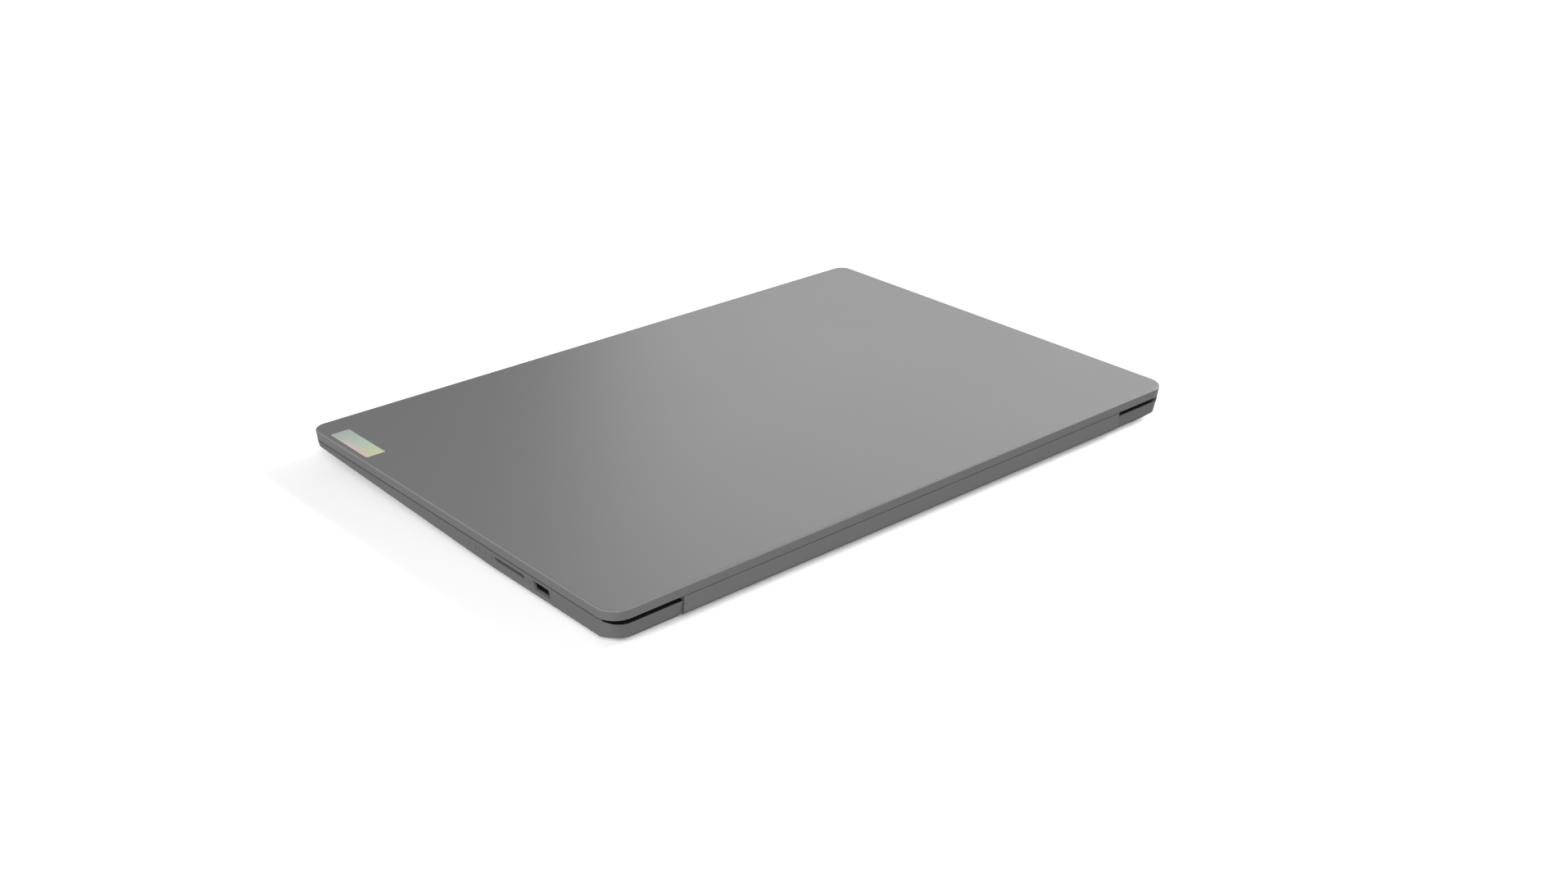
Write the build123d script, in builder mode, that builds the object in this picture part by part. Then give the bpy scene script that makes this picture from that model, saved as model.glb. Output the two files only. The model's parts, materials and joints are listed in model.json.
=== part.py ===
from build123d import *
import math
import os

os.makedirs("parts", exist_ok=True)

# Laptop computer, closed. +X is the user's right, +Y the hinge side, +Z up. The origin is on the
# table under the middle of the machine. Millimetres.

# ---- driving dimensions -------------------------------------------------------------------------
width = 399.0
depth = 274.0
height = 19.9
front_corner = 8.0
rear_corner = 12.0

lid_bottom = 14.4
lid_draft = 6.2
lid_wall = 1.5
lid_skin = 1.2
lid_edge_round = 0.9

deck_top = 13.6
deck_skin = 1.5
floor_bottom = 2.0
floor_skin = 1.6
base_inset = 0.6
base_draft = 11.0
base_wall = 1.5
seam = 0.12

hinge_y = 133.4
hinge_z = 9.6
shaft_radius = 1.0
shaft_clearance = 0.05
knuckle_radius = 1.7
notch_half = 157.7
notch_front = 126.0
strip_half = 157.0
strip_top = 14.25
strip_bottom = 3.4
strip_front = 128.9
strip_wall = 1.0

key_unit = 18.9
key_row_pitch = 18.6
key_gap = 3.0
key_slot = 0.4
function_row_depth = 12.0
keyboard_left = -179.5
keyboard_rear = 106.0
key_bottom = 12.0
key_top = 13.5
key_corner = 1.4
key_taper = 6.0
membrane_top = 10.3
plate_top = 10.0
plate_bottom = 9.4

board_bottom = 6.6
board_top = 7.6
parts_bottom = 3.9

side_edge_z = 3.9
side_edge_y = 36.0
side_rise = 0.0386
bevel_slope = 0.5
front_edge_z = 10.4
front_bevel_slope = 0.41
rear_edge_z = 5.9
rear_bevel_slope = 0.97
corner_edge_z = 4.4
corner_slope = 0.28
rear_drop_y = 128.0
rear_drop_slope = 0.2125

cutter_size = 1200.0
cutter_depth = 60.0
beyond = 20.0

# ---- derived values -----------------------------------------------------------------------------
half_width = width / 2
half_depth = depth / 2
lid_inner_top = height - lid_skin
deck_under = deck_top - deck_skin
floor_top = floor_bottom + floor_skin
lid_inset = (height - lid_bottom) * math.tan(math.radians(lid_draft))
base_slope = math.tan(math.radians(base_draft))


# ---- shared helpers -----------------------------------------------------------------------------
def slab(x_span, y_span, z_span, mode=Mode.ADD):
    """Add or cut a block that lies between three pairs of limits."""
    spans = (x_span, y_span, z_span)
    size = [abs(high - low) for low, high in spans]
    middle = [(high + low) / 2 for low, high in spans]
    with Locations(tuple(middle)):
        Box(*size, mode=mode)


def rod_x(x_span, y, z, radius, mode=Mode.ADD):
    """Add or cut a round bar that runs along X."""
    low, high = sorted(x_span)
    with Locations(((low + high) / 2, y, z)):
        Cylinder(radius, high - low, rotation=(0, 90, 0), mode=mode)


def rod_z(x, y, z_span, radius, mode=Mode.ADD):
    """Add or cut an upright round bar."""
    low, high = z_span
    with Locations((x, y, (low + high) / 2)):
        Cylinder(radius, high - low, mode=mode)


def mirrored_span(low, high, side):
    """A span of X on the right side (side 1) or its mirror image on the left (side -1)."""
    return tuple(sorted((side * low, side * high)))


def plan(z, inset):
    """The machine's rounded outline at height z, set in from the full size."""
    with BuildSketch(Plane.XY.offset(z)) as outline:
        Rectangle(width - 2 * inset, depth - 2 * inset)
        fillet(outline.vertices().group_by(Axis.Y)[0], front_corner - inset)
        fillet(outline.vertices().group_by(Axis.Y)[-1], rear_corner - inset)
    return outline.sketch


def side_inset(z):
    """How far the base's drafted wall stands in from the full size at height z."""
    return base_inset + (deck_top - z) * base_slope


def cut_half_space(origin, slope_x, slope_y, upward=False):
    """Cut away everything under, or above, a plane that rises by the two slopes."""
    with BuildSketch(Plane(origin=origin, z_dir=(-slope_x, -slope_y, 1))) as sheet:
        Rectangle(cutter_size, cutter_size)
    reach = cutter_depth if upward else -cutter_depth
    extrude(sheet.sketch, amount=reach, mode=Mode.SUBTRACT)


def cut_bevels(lift=0.0):
    """Cut the long bevels under the sides, the front and the rear, raised by lift."""
    for side in (1, -1):
        edge_x = side * (half_width - 1)
        cut_half_space((edge_x, 0, side_edge_z + lift), side * bevel_slope, 0)
        cut_half_space((edge_x, side_edge_y, side_edge_z + lift), side * bevel_slope, -side_rise)
    cut_half_space((0, -half_depth + 0.5, front_edge_z + lift), 0, -front_bevel_slope)
    cut_half_space((0, half_depth - 1, rear_edge_z + lift), 0, rear_bevel_slope)
    reach = (rear_corner - side_inset(corner_edge_z)) / math.sqrt(2) - rear_corner
    for side in (1, -1):
        corner = (side * (half_width + reach), half_depth + reach, corner_edge_z + lift)
        cut_half_space(corner, side * corner_slope, corner_slope)


def cut_rear_drop(lower=0.0):
    """Cut the deck's rear edge down towards the back, beside the hinge cover."""
    cut_half_space((0, rear_drop_y, deck_top - lower), 0, -rear_drop_slope, upward=True)


# ---- keyboard layout ----------------------------------------------------------------------------
def key_row(units, row, start=0.0):
    """Keys of one row as (left edge in units, width in units, row, rows spanned)."""
    keys = []
    left = start
    for unit in units:
        keys.append((left, unit, row, 1))
        left += unit
    return keys


def key_rectangle(key):
    """Centre and size in millimetres of one key cap. Row 0 is the low function row."""
    left, unit, row, span = key
    x = keyboard_left + (left + unit / 2) * key_unit
    across = unit * key_unit - key_gap
    if row == 0:
        return x, keyboard_rear - function_row_depth / 2, across, function_row_depth - key_gap
    rear = keyboard_rear - function_row_depth - (row - 1) * key_row_pitch
    y = rear - span * key_row_pitch / 2
    return x, y, across, span * key_row_pitch - key_gap


def half_key(left, upper):
    """One of the half-height arrow keys, as centre and size."""
    x, y, across, along = key_rectangle((left, 1, 5, 1))
    half = (along - key_gap / 3) / 2
    shift = (along - half) / 2
    return x, y + shift if upper else y - shift, across, half


number_pad = key_row([1, 1, 1, 1], 1, 15) + key_row([1, 1, 1], 2, 15) + key_row([1, 1, 1], 3, 15)
number_pad += key_row([1, 1, 1], 4, 15) + key_row([2, 1], 5, 15)
number_pad += [(18, 1, 2, 2), (18, 1, 4, 2)]

key_groups = {
    "function_keys": [key_rectangle(key) for key in key_row([1] * 19, 0)],
    "number_keys": [key_rectangle(key) for key in key_row([1] * 13 + [2], 1)],
    "upper_letter_keys": [key_rectangle(key) for key in key_row([1.5] + [1] * 12 + [1.5], 2)],
    "home_letter_keys": [key_rectangle(key) for key in key_row([1.75] + [1] * 11, 3)],
    "enter_key": [key_rectangle(key) for key in key_row([2.25], 3, 12.75)],
    "lower_letter_keys": [key_rectangle(key) for key in key_row([2.25] + [1] * 10 + [2.75], 4)],
    "modifier_keys": [
        key_rectangle(key) for key in key_row([1.25, 1, 1, 1], 5) + key_row([1, 1.5], 5, 9.5)
    ],
    "space_bar": [key_rectangle(key) for key in key_row([5.25], 5, 4.25)],
    "arrow_keys": [half_key(12, False), half_key(13, False), half_key(13, True), half_key(14, False)],
    "number_pad_keys": [key_rectangle(key) for key in number_pad],
}


def key_sketch(z, keys, grow):
    """Rounded rectangles for a group of keys, each grown by a margin all round."""
    with BuildSketch(Plane.XY.offset(z)) as caps:
        for x, y, across, along in keys:
            with Locations((x, y)):
                RectangleRounded(across + 2 * grow, along + 2 * grow, key_corner + grow)
    return caps.sketch


for group_name, keys in key_groups.items():
    with BuildPart() as key_group:
        extrude(key_sketch(key_bottom, keys, 0), amount=key_top - key_bottom, taper=key_taper)
    key_group.part.label = group_name
    export_step(key_group.part, f"parts/{group_name}.step")

# ---- places that several parts share --------------------------------------------------------------
touchpad_x = (-93.0, 27.0)
touchpad_y = (-123.0, -43.0)
power_x = 140.0
power_y = 114.0
power_size = (17.0, 6.0)
fan_x = 91.0
fan_y = 76.0
fan_half = 31.0
fan_z = (parts_bottom, 9.2)
fan_wall = 0.7
rotor_radius = 24.0
hub_radius = 8.0
spindle_radius = 1.0
screw_places = [(x, -111.0) for x in (-165, -104, 38, 104, 165)]
screw_places += [(-186.0, 8.0), (186.0, 8.0)]
screw_places += [(x, 118.5) for x in (-140, -40, 40, 152)]
screw_radius = 1.1
screw_head_radius = 2.3
screw_head_z = (floor_bottom + 0.1, floor_bottom + 0.9)
screw_end = 8.5
boss_radius = 2.6
rear_foot_span = ((-140.0, 140.0), (104.0, 111.0))
front_foot_x = 112.0
front_foot_y = -98.0
front_foot_size = (42.0, 7.0)
foot_recess = 0.5
usb_size = (13.1, 5.6)
usb_right_y = 80.35
usb_right_z = 9.1
card_y = (41.0, 66.3)
card_z = (8.9, 11.2)
lamp_places = [28.1, 33.2]
reset_y = 18.5
usb_left_places = [86.0, 50.0]
hdmi_y = 68.0
hdmi_size = (15.0, 5.6)
usb_c_y = 34.5
usb_c_size = (9.2, 3.4)
audio_y = 21.0
audio_z = 8.6
audio_radius = 1.75
inlet_y = 103.0
inlet_z = 9.0
inlet_radius = 2.7
inlet_pin_radius = 0.85
inlet_half = (3.6, 3.1)
audio_half = 3.0
sleeve_radius = 2.5
port_z = 8.6
lamp_z = port_z + 0.6
lamp_face_x = half_width - 1.7
lamp_back_x = 192.4
socket_back = 181.0
boss_x = (145.0, 155.0)
knuckle_x = (160.0, 168.0)
shaft_cap_x = (168.1, 168.4)
arm_root_x = 100.0


# ---- base: shells ---------------------------------------------------------------------------------
def cut_notch(margin=0.0):
    """Cut the recess at the rear that the lid's hinge cover turns in."""
    span = (-notch_half - margin, notch_half + margin)
    slab(span, (notch_front - margin, half_depth + beyond), (-beyond, 2 * beyond), Mode.SUBTRACT)


with BuildPart() as base_cavity:
    extrude(plan(deck_under, side_inset(deck_under) + base_wall), amount=-beyond, taper=base_draft)
    cut_notch(base_wall)
    cut_rear_drop(deck_skin)


def cut_side_port(side, y, z, across, tall, corner):
    """Cut a rounded window through the side wall."""
    with BuildSketch(Plane.YZ.offset(side * (half_width - 8))) as window:
        with Locations((y, z)):
            RectangleRounded(across, tall, corner)
    extrude(window.sketch, amount=side * 12, mode=Mode.SUBTRACT)


def cut_side_ports():
    """All the openings in the two side walls."""
    slot_middle = (card_y[0] + card_y[1]) / 2
    cut_side_port(1, slot_middle, sum(card_z) / 2, card_y[1] - card_y[0], card_z[1] - card_z[0], 0.5)
    cut_side_port(1, usb_right_y, usb_right_z, usb_size[0], usb_size[1], 0.5)
    for y in lamp_places:
        cut_side_port(1, y, lamp_z, 1.9, 1.0, 0.45)
    rod_x((half_width - 6, half_width + 4), reset_y, lamp_z, 0.45, Mode.SUBTRACT)
    for y in usb_left_places:
        cut_side_port(-1, y, port_z, usb_size[0], usb_size[1], 0.5)
    cut_side_port(-1, hdmi_y, port_z, hdmi_size[0] + 0.6, hdmi_size[1] + 0.4, 0.8)
    cut_side_port(-1, usb_c_y, port_z, usb_c_size[0], usb_c_size[1], 1.6)
    left_wall = (-half_width - 4, -half_width + 8)
    rod_x(left_wall, audio_y, audio_z, sleeve_radius + 0.1, Mode.SUBTRACT)
    rod_x(left_wall, inlet_y, inlet_z, inlet_radius + 0.5, Mode.SUBTRACT)


def cut_hinge_seats():
    """Clear the shafts through the notch's ends and the knuckles behind them."""
    for side in (1, -1):
        shaft_hole = mirrored_span(strip_half, knuckle_x[0], side)
        knuckle_seat = mirrored_span(knuckle_x[0] - 0.5, knuckle_x[1] + 0.5, side)
        rod_x(shaft_hole, hinge_y, hinge_z, shaft_radius + 0.3, Mode.SUBTRACT)
        rod_x(knuckle_seat, hinge_y, hinge_z, knuckle_radius + 0.1, Mode.SUBTRACT)


def cut_exhaust():
    """Slots in the notch's front wall, behind the cooling fins."""
    with Locations((fan_x, notch_front, 6.6)):
        with GridLocations(4.8, 1, 12, 1):
            Box(3.0, 8.0, 4.4, mode=Mode.SUBTRACT)


with BuildPart() as top_cover:
    extrude(plan(deck_top, base_inset), amount=floor_bottom - deck_top, taper=base_draft)
    cut_bevels()
    cut_notch()
    cut_rear_drop()
    add(base_cavity.part, mode=Mode.SUBTRACT)
    for x, y in screw_places:
        rod_z(x, y, (floor_top, deck_under), boss_radius)
        rod_z(x, y, (floor_top - 1, deck_under - 2.5), screw_radius, Mode.SUBTRACT)
    all_keys = [key for keys in key_groups.values() for key in keys]
    extrude(key_sketch(deck_under - 1, all_keys, key_slot), amount=4, mode=Mode.SUBTRACT)
    slab(touchpad_x, touchpad_y, (deck_under - 1, deck_top + 1), Mode.SUBTRACT)
    with BuildSketch(Plane.XY.offset(deck_under - 1)) as power_hole:
        with Locations((power_x, power_y)):
            SlotOverall(power_size[0] + 0.6, power_size[1] + 0.6)
    extrude(amount=4, mode=Mode.SUBTRACT)
    cut_side_ports()
    cut_hinge_seats()
    cut_exhaust()
top_cover.part.label = "top_cover"
export_step(top_cover.part, "parts/top_cover.step")


def cut_speaker_grilles():
    """Short slots through the bevels under the two front corners."""
    for side in (1, -1):
        with Locations((side * 170, -74, 3)):
            with GridLocations(5, 7, 3, 7):
                Box(1.6, 5, 8, mode=Mode.SUBTRACT)


def cut_intake():
    """Rows of slots under the fan."""
    with Locations((fan_x, fan_y, floor_bottom)):
        with GridLocations(5.0, 13.0, 11, 4):
            Box(2.6, 10.0, 6, mode=Mode.SUBTRACT)


with BuildPart() as inner_space:
    slab((-half_width, half_width), (-half_depth, half_depth), (floor_top, 2 * beyond))
    cut_bevels(floor_skin)

with BuildPart() as bottom_cover:
    tray_inset = side_inset(deck_under) + base_wall + seam
    extrude(plan(deck_under, tray_inset), amount=floor_bottom - deck_under, taper=base_draft)
    cut_bevels()
    cut_notch(base_wall + seam)
    add(inner_space.part, mode=Mode.SUBTRACT)
    for x, y in screw_places:
        rod_z(x, y, (floor_bottom - 1, screw_head_z[1]), screw_head_radius + 0.2, Mode.SUBTRACT)
        rod_z(x, y, (floor_bottom - 1, floor_top + 1), screw_radius + 0.15, Mode.SUBTRACT)
    recess = (floor_bottom - 1, floor_bottom + foot_recess)
    slab(*rear_foot_span, recess, Mode.SUBTRACT)
    for side in (1, -1):
        with Locations((side * front_foot_x, front_foot_y, floor_bottom)):
            Box(*front_foot_size, 2 * foot_recess, mode=Mode.SUBTRACT)
    cut_speaker_grilles()
    cut_intake()
bottom_cover.part.label = "bottom_cover"
export_step(bottom_cover.part, "parts/bottom_cover.step")

with BuildPart() as bottom_screws:
    for x, y in screw_places:
        rod_z(x, y, screw_head_z, screw_head_radius)
        rod_z(x, y, (screw_head_z[1], screw_end), screw_radius)
        rod_z(x, y, (floor_bottom, floor_bottom + 0.5), 0.9, Mode.SUBTRACT)
bottom_screws.part.label = "bottom_screws"
export_step(bottom_screws.part, "parts/bottom_screws.step")

with BuildPart() as rear_foot:
    with BuildSketch() as rear_foot_plan:
        (left, right), (front, rear) = rear_foot_span
        with Locations(((left + right) / 2, (front + rear) / 2)):
            SlotOverall(right - left, rear - front)
    extrude(amount=floor_bottom + foot_recess)
    chamfer(rear_foot.faces().sort_by(Axis.Z)[0].edges(), 0.5)
rear_foot.part.label = "rear_foot"
export_step(rear_foot.part, "parts/rear_foot.step")

with BuildPart() as front_feet:
    with BuildSketch() as front_feet_plan:
        with Locations((front_foot_x, front_foot_y), (-front_foot_x, front_foot_y)):
            SlotOverall(*front_foot_size)
    extrude(amount=floor_bottom + foot_recess)
    chamfer(front_feet.faces().group_by(Axis.Z)[0].edges(), 0.5)
front_feet.part.label = "front_feet"
export_step(front_feet.part, "parts/front_feet.step")

# ---- base: keyboard, touchpad and power button ------------------------------------------------------
plate_x = (-180.5, 180.5)
plate_y = (-1.0, 108.0)
plate_lip = 0.8

with BuildPart() as keyboard_plate:
    slab(plate_x, plate_y, (plate_bottom, plate_top))
    slab(plate_x, (plate_y[1] - plate_lip, plate_y[1]), (plate_top, deck_under))
    slab(plate_x, (plate_y[0], plate_y[0] + plate_lip), (plate_top, deck_under))
keyboard_plate.part.label = "keyboard_plate"
export_step(keyboard_plate.part, "parts/keyboard_plate.step")

with BuildPart() as keyboard_membrane:
    margin = 0.5
    across = (plate_x[0] + margin, plate_x[1] - margin)
    slab(across, (plate_y[0] + 2 * margin, plate_y[1] - 2 * margin), (plate_top, membrane_top))
keyboard_membrane.part.label = "keyboard_membrane"
export_step(keyboard_membrane.part, "parts/keyboard_membrane.step")

touchpad_gap = 0.35
with BuildPart() as touchpad:
    x_span = (touchpad_x[0] + touchpad_gap, touchpad_x[1] - touchpad_gap)
    y_span = (touchpad_y[0] + touchpad_gap, touchpad_y[1] - touchpad_gap)
    slab(x_span, y_span, (deck_under, deck_top - 0.1))
    fillet(touchpad.edges().filter_by(Axis.Z), 1.0)
touchpad.part.label = "touchpad"
export_step(touchpad.part, "parts/touchpad.step")

bracket_z = (10.1, 10.9)
bracket_rim = 5.0
with BuildPart() as touchpad_bracket:
    left, right = touchpad_x[0] - bracket_rim, touchpad_x[1] + bracket_rim
    front, rear = touchpad_y[0] - bracket_rim + 1, touchpad_y[1] + bracket_rim - 1
    slab((left, right), (front, rear), bracket_z)
    slab((left, right), (rear - 2, rear), (bracket_z[1], deck_under))
    slab((left, left + 3), (front + 2, rear - 2), (bracket_z[1], deck_under))
    slab((right - 3, right), (front + 2, rear - 2), (bracket_z[1], deck_under))
    slab((-80, 14), (-118, -60), (bracket_z[0] - 0.1, bracket_z[1] + 0.1), Mode.SUBTRACT)
    slab((-40, -26), (-119, -59), bracket_z)
touchpad_bracket.part.label = "touchpad_bracket"
export_step(touchpad_bracket.part, "parts/touchpad_bracket.step")

power_z = (11.6, deck_top - 0.15)
with BuildPart() as power_button:
    with BuildSketch(Plane.XY.offset(power_z[0])) as power_cap:
        with Locations((power_x, power_y)):
            SlotOverall(*power_size)
    extrude(amount=power_z[1] - power_z[0])
    fillet(power_button.faces().sort_by(Axis.Z)[-1].edges(), 0.3)
power_button.part.label = "power_button"
export_step(power_button.part, "parts/power_button.step")


# ---- base: electronics and cooling ------------------------------------------------------------------
board_left = -180.6
shelf_bottom = board_bottom - 1.6
with BuildPart() as motherboard:
    slab((board_left, 52), (14, 114), (board_bottom, board_top))
    slab((-192, board_left + 1.6), (14, 110), (shelf_bottom, shelf_bottom + 0.8))
    slab((board_left, board_left + 1.6), (14, 110), (shelf_bottom, board_top))
    slab((-110, -60), (80, 104), (board_top, board_top + 1.2))
    slab((10, 40), (84, 104), (board_top, board_top + 1.4))
motherboard.part.label = "motherboard"
export_step(motherboard.part, "parts/motherboard.step")

package_bottom = board_bottom - 0.9
die_bottom = package_bottom - 0.3
with BuildPart() as processor:
    slab((-32, 6), (60, 92), (package_bottom, board_bottom))
    slab((-22, -4), (70, 82), (die_bottom, package_bottom))
processor.part.label = "processor"
export_step(processor.part, "parts/processor.step")

pipe_z = (parts_bottom, die_bottom)
pipe_width = 7.0
pipe_rear = 116.5
with BuildPart() as heat_pipe:
    with BuildSketch(Plane.XY.offset(pipe_z[0])) as pipe_plan:
        with BuildLine() as pipe_route:
            FilletPolyline((-22, 76), (30, 76), (52, pipe_rear), (120, pipe_rear), radius=16)
        trace(pipe_route.line, pipe_width)
    extrude(amount=pipe_z[1] - pipe_z[0])
    slab((-34, 8), (60, 92), pipe_z)
heat_pipe.part.label = "heat_pipe"
export_step(heat_pipe.part, "parts/heat_pipe.step")

fin_x = (61.0, 121.0)
fin_y = (112.0, 121.5)
fin_height = fan_z[1] - pipe_z[1]
with BuildPart() as heatsink_fins:
    slab(fin_x, fin_y, (pipe_z[1], pipe_z[1] + 0.5))
    slab(fin_x, fin_y, (fan_z[1] - 0.4, fan_z[1]))
    with Locations((sum(fin_x) / 2, sum(fin_y) / 2, pipe_z[1] + fin_height / 2)):
        with GridLocations(2.0, 1, 30, 1):
            Box(0.3, fin_y[1] - fin_y[0], fin_height)
heatsink_fins.part.label = "heatsink_fins"
export_step(heatsink_fins.part, "parts/heatsink_fins.step")

fan_inside = (fan_z[0] + fan_wall, fan_z[1] - fan_wall)
with BuildPart() as fan_housing:
    with Locations((fan_x, fan_y, sum(fan_z) / 2)):
        Box(2 * fan_half, 2 * fan_half, fan_z[1] - fan_z[0])
    rod_z(fan_x, fan_y, fan_inside, rotor_radius + 3, Mode.SUBTRACT)
    outlet = (fan_x - rotor_radius - 2, fan_x + rotor_radius + 3)
    slab(outlet, (fan_y + 6, fan_y + fan_half + 1), fan_inside, Mode.SUBTRACT)
    with BuildSketch(Plane.XY.offset(fan_z[0] - 1)) as intake:
        with Locations((fan_x, fan_y)):
            Circle(rotor_radius - 5)
            Circle(hub_radius + 1, mode=Mode.SUBTRACT)
            Rectangle(3, 60, mode=Mode.SUBTRACT)
            Rectangle(60, 3, mode=Mode.SUBTRACT)
    extrude(amount=2.2, mode=Mode.SUBTRACT)
    rod_z(fan_x, fan_y, (fan_inside[0], fan_inside[1] - fan_wall), spindle_radius)
fan_housing.part.label = "fan_housing"
export_step(fan_housing.part, "parts/fan_housing.step")

with BuildPart() as fan_rotor:
    ring_radius = rotor_radius - 6
    rod_z(fan_x, fan_y, (fan_z[0] + 1.2, fan_z[1] - 1.6), ring_radius)
    rod_z(fan_x, fan_y, (fan_z[0] + 1.2, fan_z[1] - 2.0), ring_radius - 0.6, Mode.SUBTRACT)
    rod_z(fan_x, fan_y, (fan_z[0] + 1.0, fan_z[1] - 1.0), hub_radius)
    with Locations((fan_x, fan_y, (fan_z[0] + fan_z[1]) / 2)):
        with PolarLocations(rotor_radius / 2 + 3.5, 31):
            Box(rotor_radius - 7, 0.5, fan_z[1] - fan_z[0] - 2.4, rotation=(0, 0, 24))
    rod_z(fan_x, fan_y, (fan_z[0], fan_z[1] - 1.3), spindle_radius + shaft_clearance, Mode.SUBTRACT)
fan_rotor.part.label = "fan_rotor"
export_step(fan_rotor.part, "parts/fan_rotor.step")

cell_width = 73.0
cell_places = (-112.0, -37.0, 38.0)
with BuildPart() as battery_pack:
    for left in cell_places:
        slab((left, left + cell_width), (-102, -30), (parts_bottom, 9.7))
    slab((cell_places[0], cell_places[-1] + cell_width), (-30, -24), (parts_bottom, 7.5))
    fillet(battery_pack.edges().filter_by(Axis.Z).group_by(Axis.Y)[0], 1.2)
battery_pack.part.label = "battery_pack"
export_step(battery_pack.part, "parts/battery_pack.step")

chips_bottom = 4.4
ssd_z = (5.2, 6.0)
with BuildPart() as ssd_module:
    slab((-60, 20), (24, 46), ssd_z)
    slab((-56, -36), (27, 43), (chips_bottom, ssd_z[0]))
    slab((-20, -6), (28, 42), (chips_bottom, ssd_z[0]))
    slab((14, 22), (23, 47), (5.0, board_bottom))
ssd_module.part.label = "ssd_module"
export_step(ssd_module.part, "parts/ssd_module.step")

memory_z = (5.0, 5.9)
with BuildPart() as memory_module:
    slab((-150, -82.4), (28, 58), memory_z)
    for left in (-146, -128, -110, -96):
        slab((left, left + 10), (34, 50), (chips_bottom, memory_z[0]))
    slab((-152, -80), (22, 28), (4.6, board_bottom))
memory_module.part.label = "memory_module"
export_step(memory_module.part, "parts/memory_module.step")

wifi_z = (5.4, 6.2)
with BuildPart() as wifi_card:
    slab((-150, -128), (68, 98), wifi_z)
    slab((-147, -131), (74, 92), (chips_bottom, wifi_z[0]))
    slab((-151, -127), (62, 68), (5.0, board_bottom))
wifi_card.part.label = "wifi_card"
export_step(wifi_card.part, "parts/wifi_card.step")

for side, speaker_name in ((1, "speaker_right"), (-1, "speaker_left")):
    with BuildPart() as speaker:
        slab(mirrored_span(132, 178, side), (-100, -46), (5.6, 11.4))
        slab(mirrored_span(134, 176, side), (-58, -48), (8, 12), Mode.SUBTRACT)
        slab(mirrored_span(162, 176, side), (-96, -60), (5.0, 6.2), Mode.SUBTRACT)
        fillet(speaker.edges().filter_by(Axis.Z).group_by(Axis.Y)[0], 3.0)
    speaker.part.label = speaker_name
    export_step(speaker.part, f"parts/{speaker_name}.step")

io_z = (5.2, 6.1)
with BuildPart() as io_board:
    slab((166, 192), (16, 96), io_z)
    slab((168, 178), (84, 94), (io_z[1], 7.4))
io_board.part.label = "io_board"
export_step(io_board.part, "parts/io_board.step")

ribbon_z = (board_top + 0.1, board_top + 0.3)
with BuildPart() as ribbon_cables:
    slab((52, 166), (20, 26), ribbon_z)
    slab((164, 166), (20, 26), (io_z[0], ribbon_z[1]))
    slab((-45, -33), (-24, 16), (7.8, 8.0))
    slab((-45, -33), (-24, -23.8), (7.8, 10.1))
    slab((100, 112), (8, 14), (8.2, plate_bottom))
ribbon_cables.part.label = "ribbon_cables"
export_step(ribbon_cables.part, "parts/ribbon_cables.step")


# ---- base: sockets ------------------------------------------------------------------------------
def socket_mouth(lowest_z):
    """Where a socket's mouth stands, just inside the drafted side wall."""
    return half_width - side_inset(lowest_z) - base_wall - 0.1


def usb_socket(side, y, z):
    """A metal shell open to the side, with the contact tongue inside."""
    shell = 0.35
    across, tall = usb_size
    mouth = side * socket_mouth(z - tall / 2)
    back = side * socket_back
    slab((back, mouth), (y - across / 2, y + across / 2), (z - tall / 2, z + tall / 2))
    inner_y = (y - across / 2 + shell, y + across / 2 - shell)
    inner_z = (z - tall / 2 + shell, z + tall / 2 - shell)
    slab((back + side * 2, mouth + side), inner_y, inner_z, Mode.SUBTRACT)
    tongue_y = (inner_y[0] + 0.5, inner_y[1] - 0.5)
    slab((back + side, mouth - side * 1.5), tongue_y, (inner_z[0] + 0.5, inner_z[0] + 2.3))


with BuildPart() as usb_socket_right:
    usb_socket(1, usb_right_y, usb_right_z)
usb_socket_right.part.label = "usb_socket_right"
export_step(usb_socket_right.part, "parts/usb_socket_right.step")

with BuildPart() as usb_sockets_left:
    for y in usb_left_places:
        usb_socket(-1, y, port_z)
usb_sockets_left.part.label = "usb_sockets_left"
export_step(usb_sockets_left.part, "parts/usb_sockets_left.step")

with BuildPart() as card_reader:
    reader_bottom = card_z[0] - 0.5
    reader_y = (card_y[0] - 0.8, card_y[1] + 0.8)
    mouth = socket_mouth(reader_bottom)
    slab((socket_back, mouth), reader_y, (reader_bottom, card_z[1] + 0.4))
    slab((socket_back + 1, mouth + 1), card_y, card_z, Mode.SUBTRACT)
    slab((socket_back + 2, socket_back + 10), (reader_y[0], card_y[0] + 2), (io_z[1], reader_bottom))
card_reader.part.label = "card_reader"
export_step(card_reader.part, "parts/card_reader.step")

with BuildPart() as status_lights:
    for y in lamp_places:
        slab((lamp_back_x, lamp_face_x), (y - 0.8, y + 0.8), (lamp_z - 0.4, lamp_z + 0.4))
    block_y = (lamp_places[0] - 2, lamp_places[1] + 2)
    slab((lamp_back_x - 3.4, lamp_back_x), block_y, (io_z[1], lamp_z + 0.8))
status_lights.part.label = "status_lights"
export_step(status_lights.part, "parts/status_lights.step")

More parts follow.
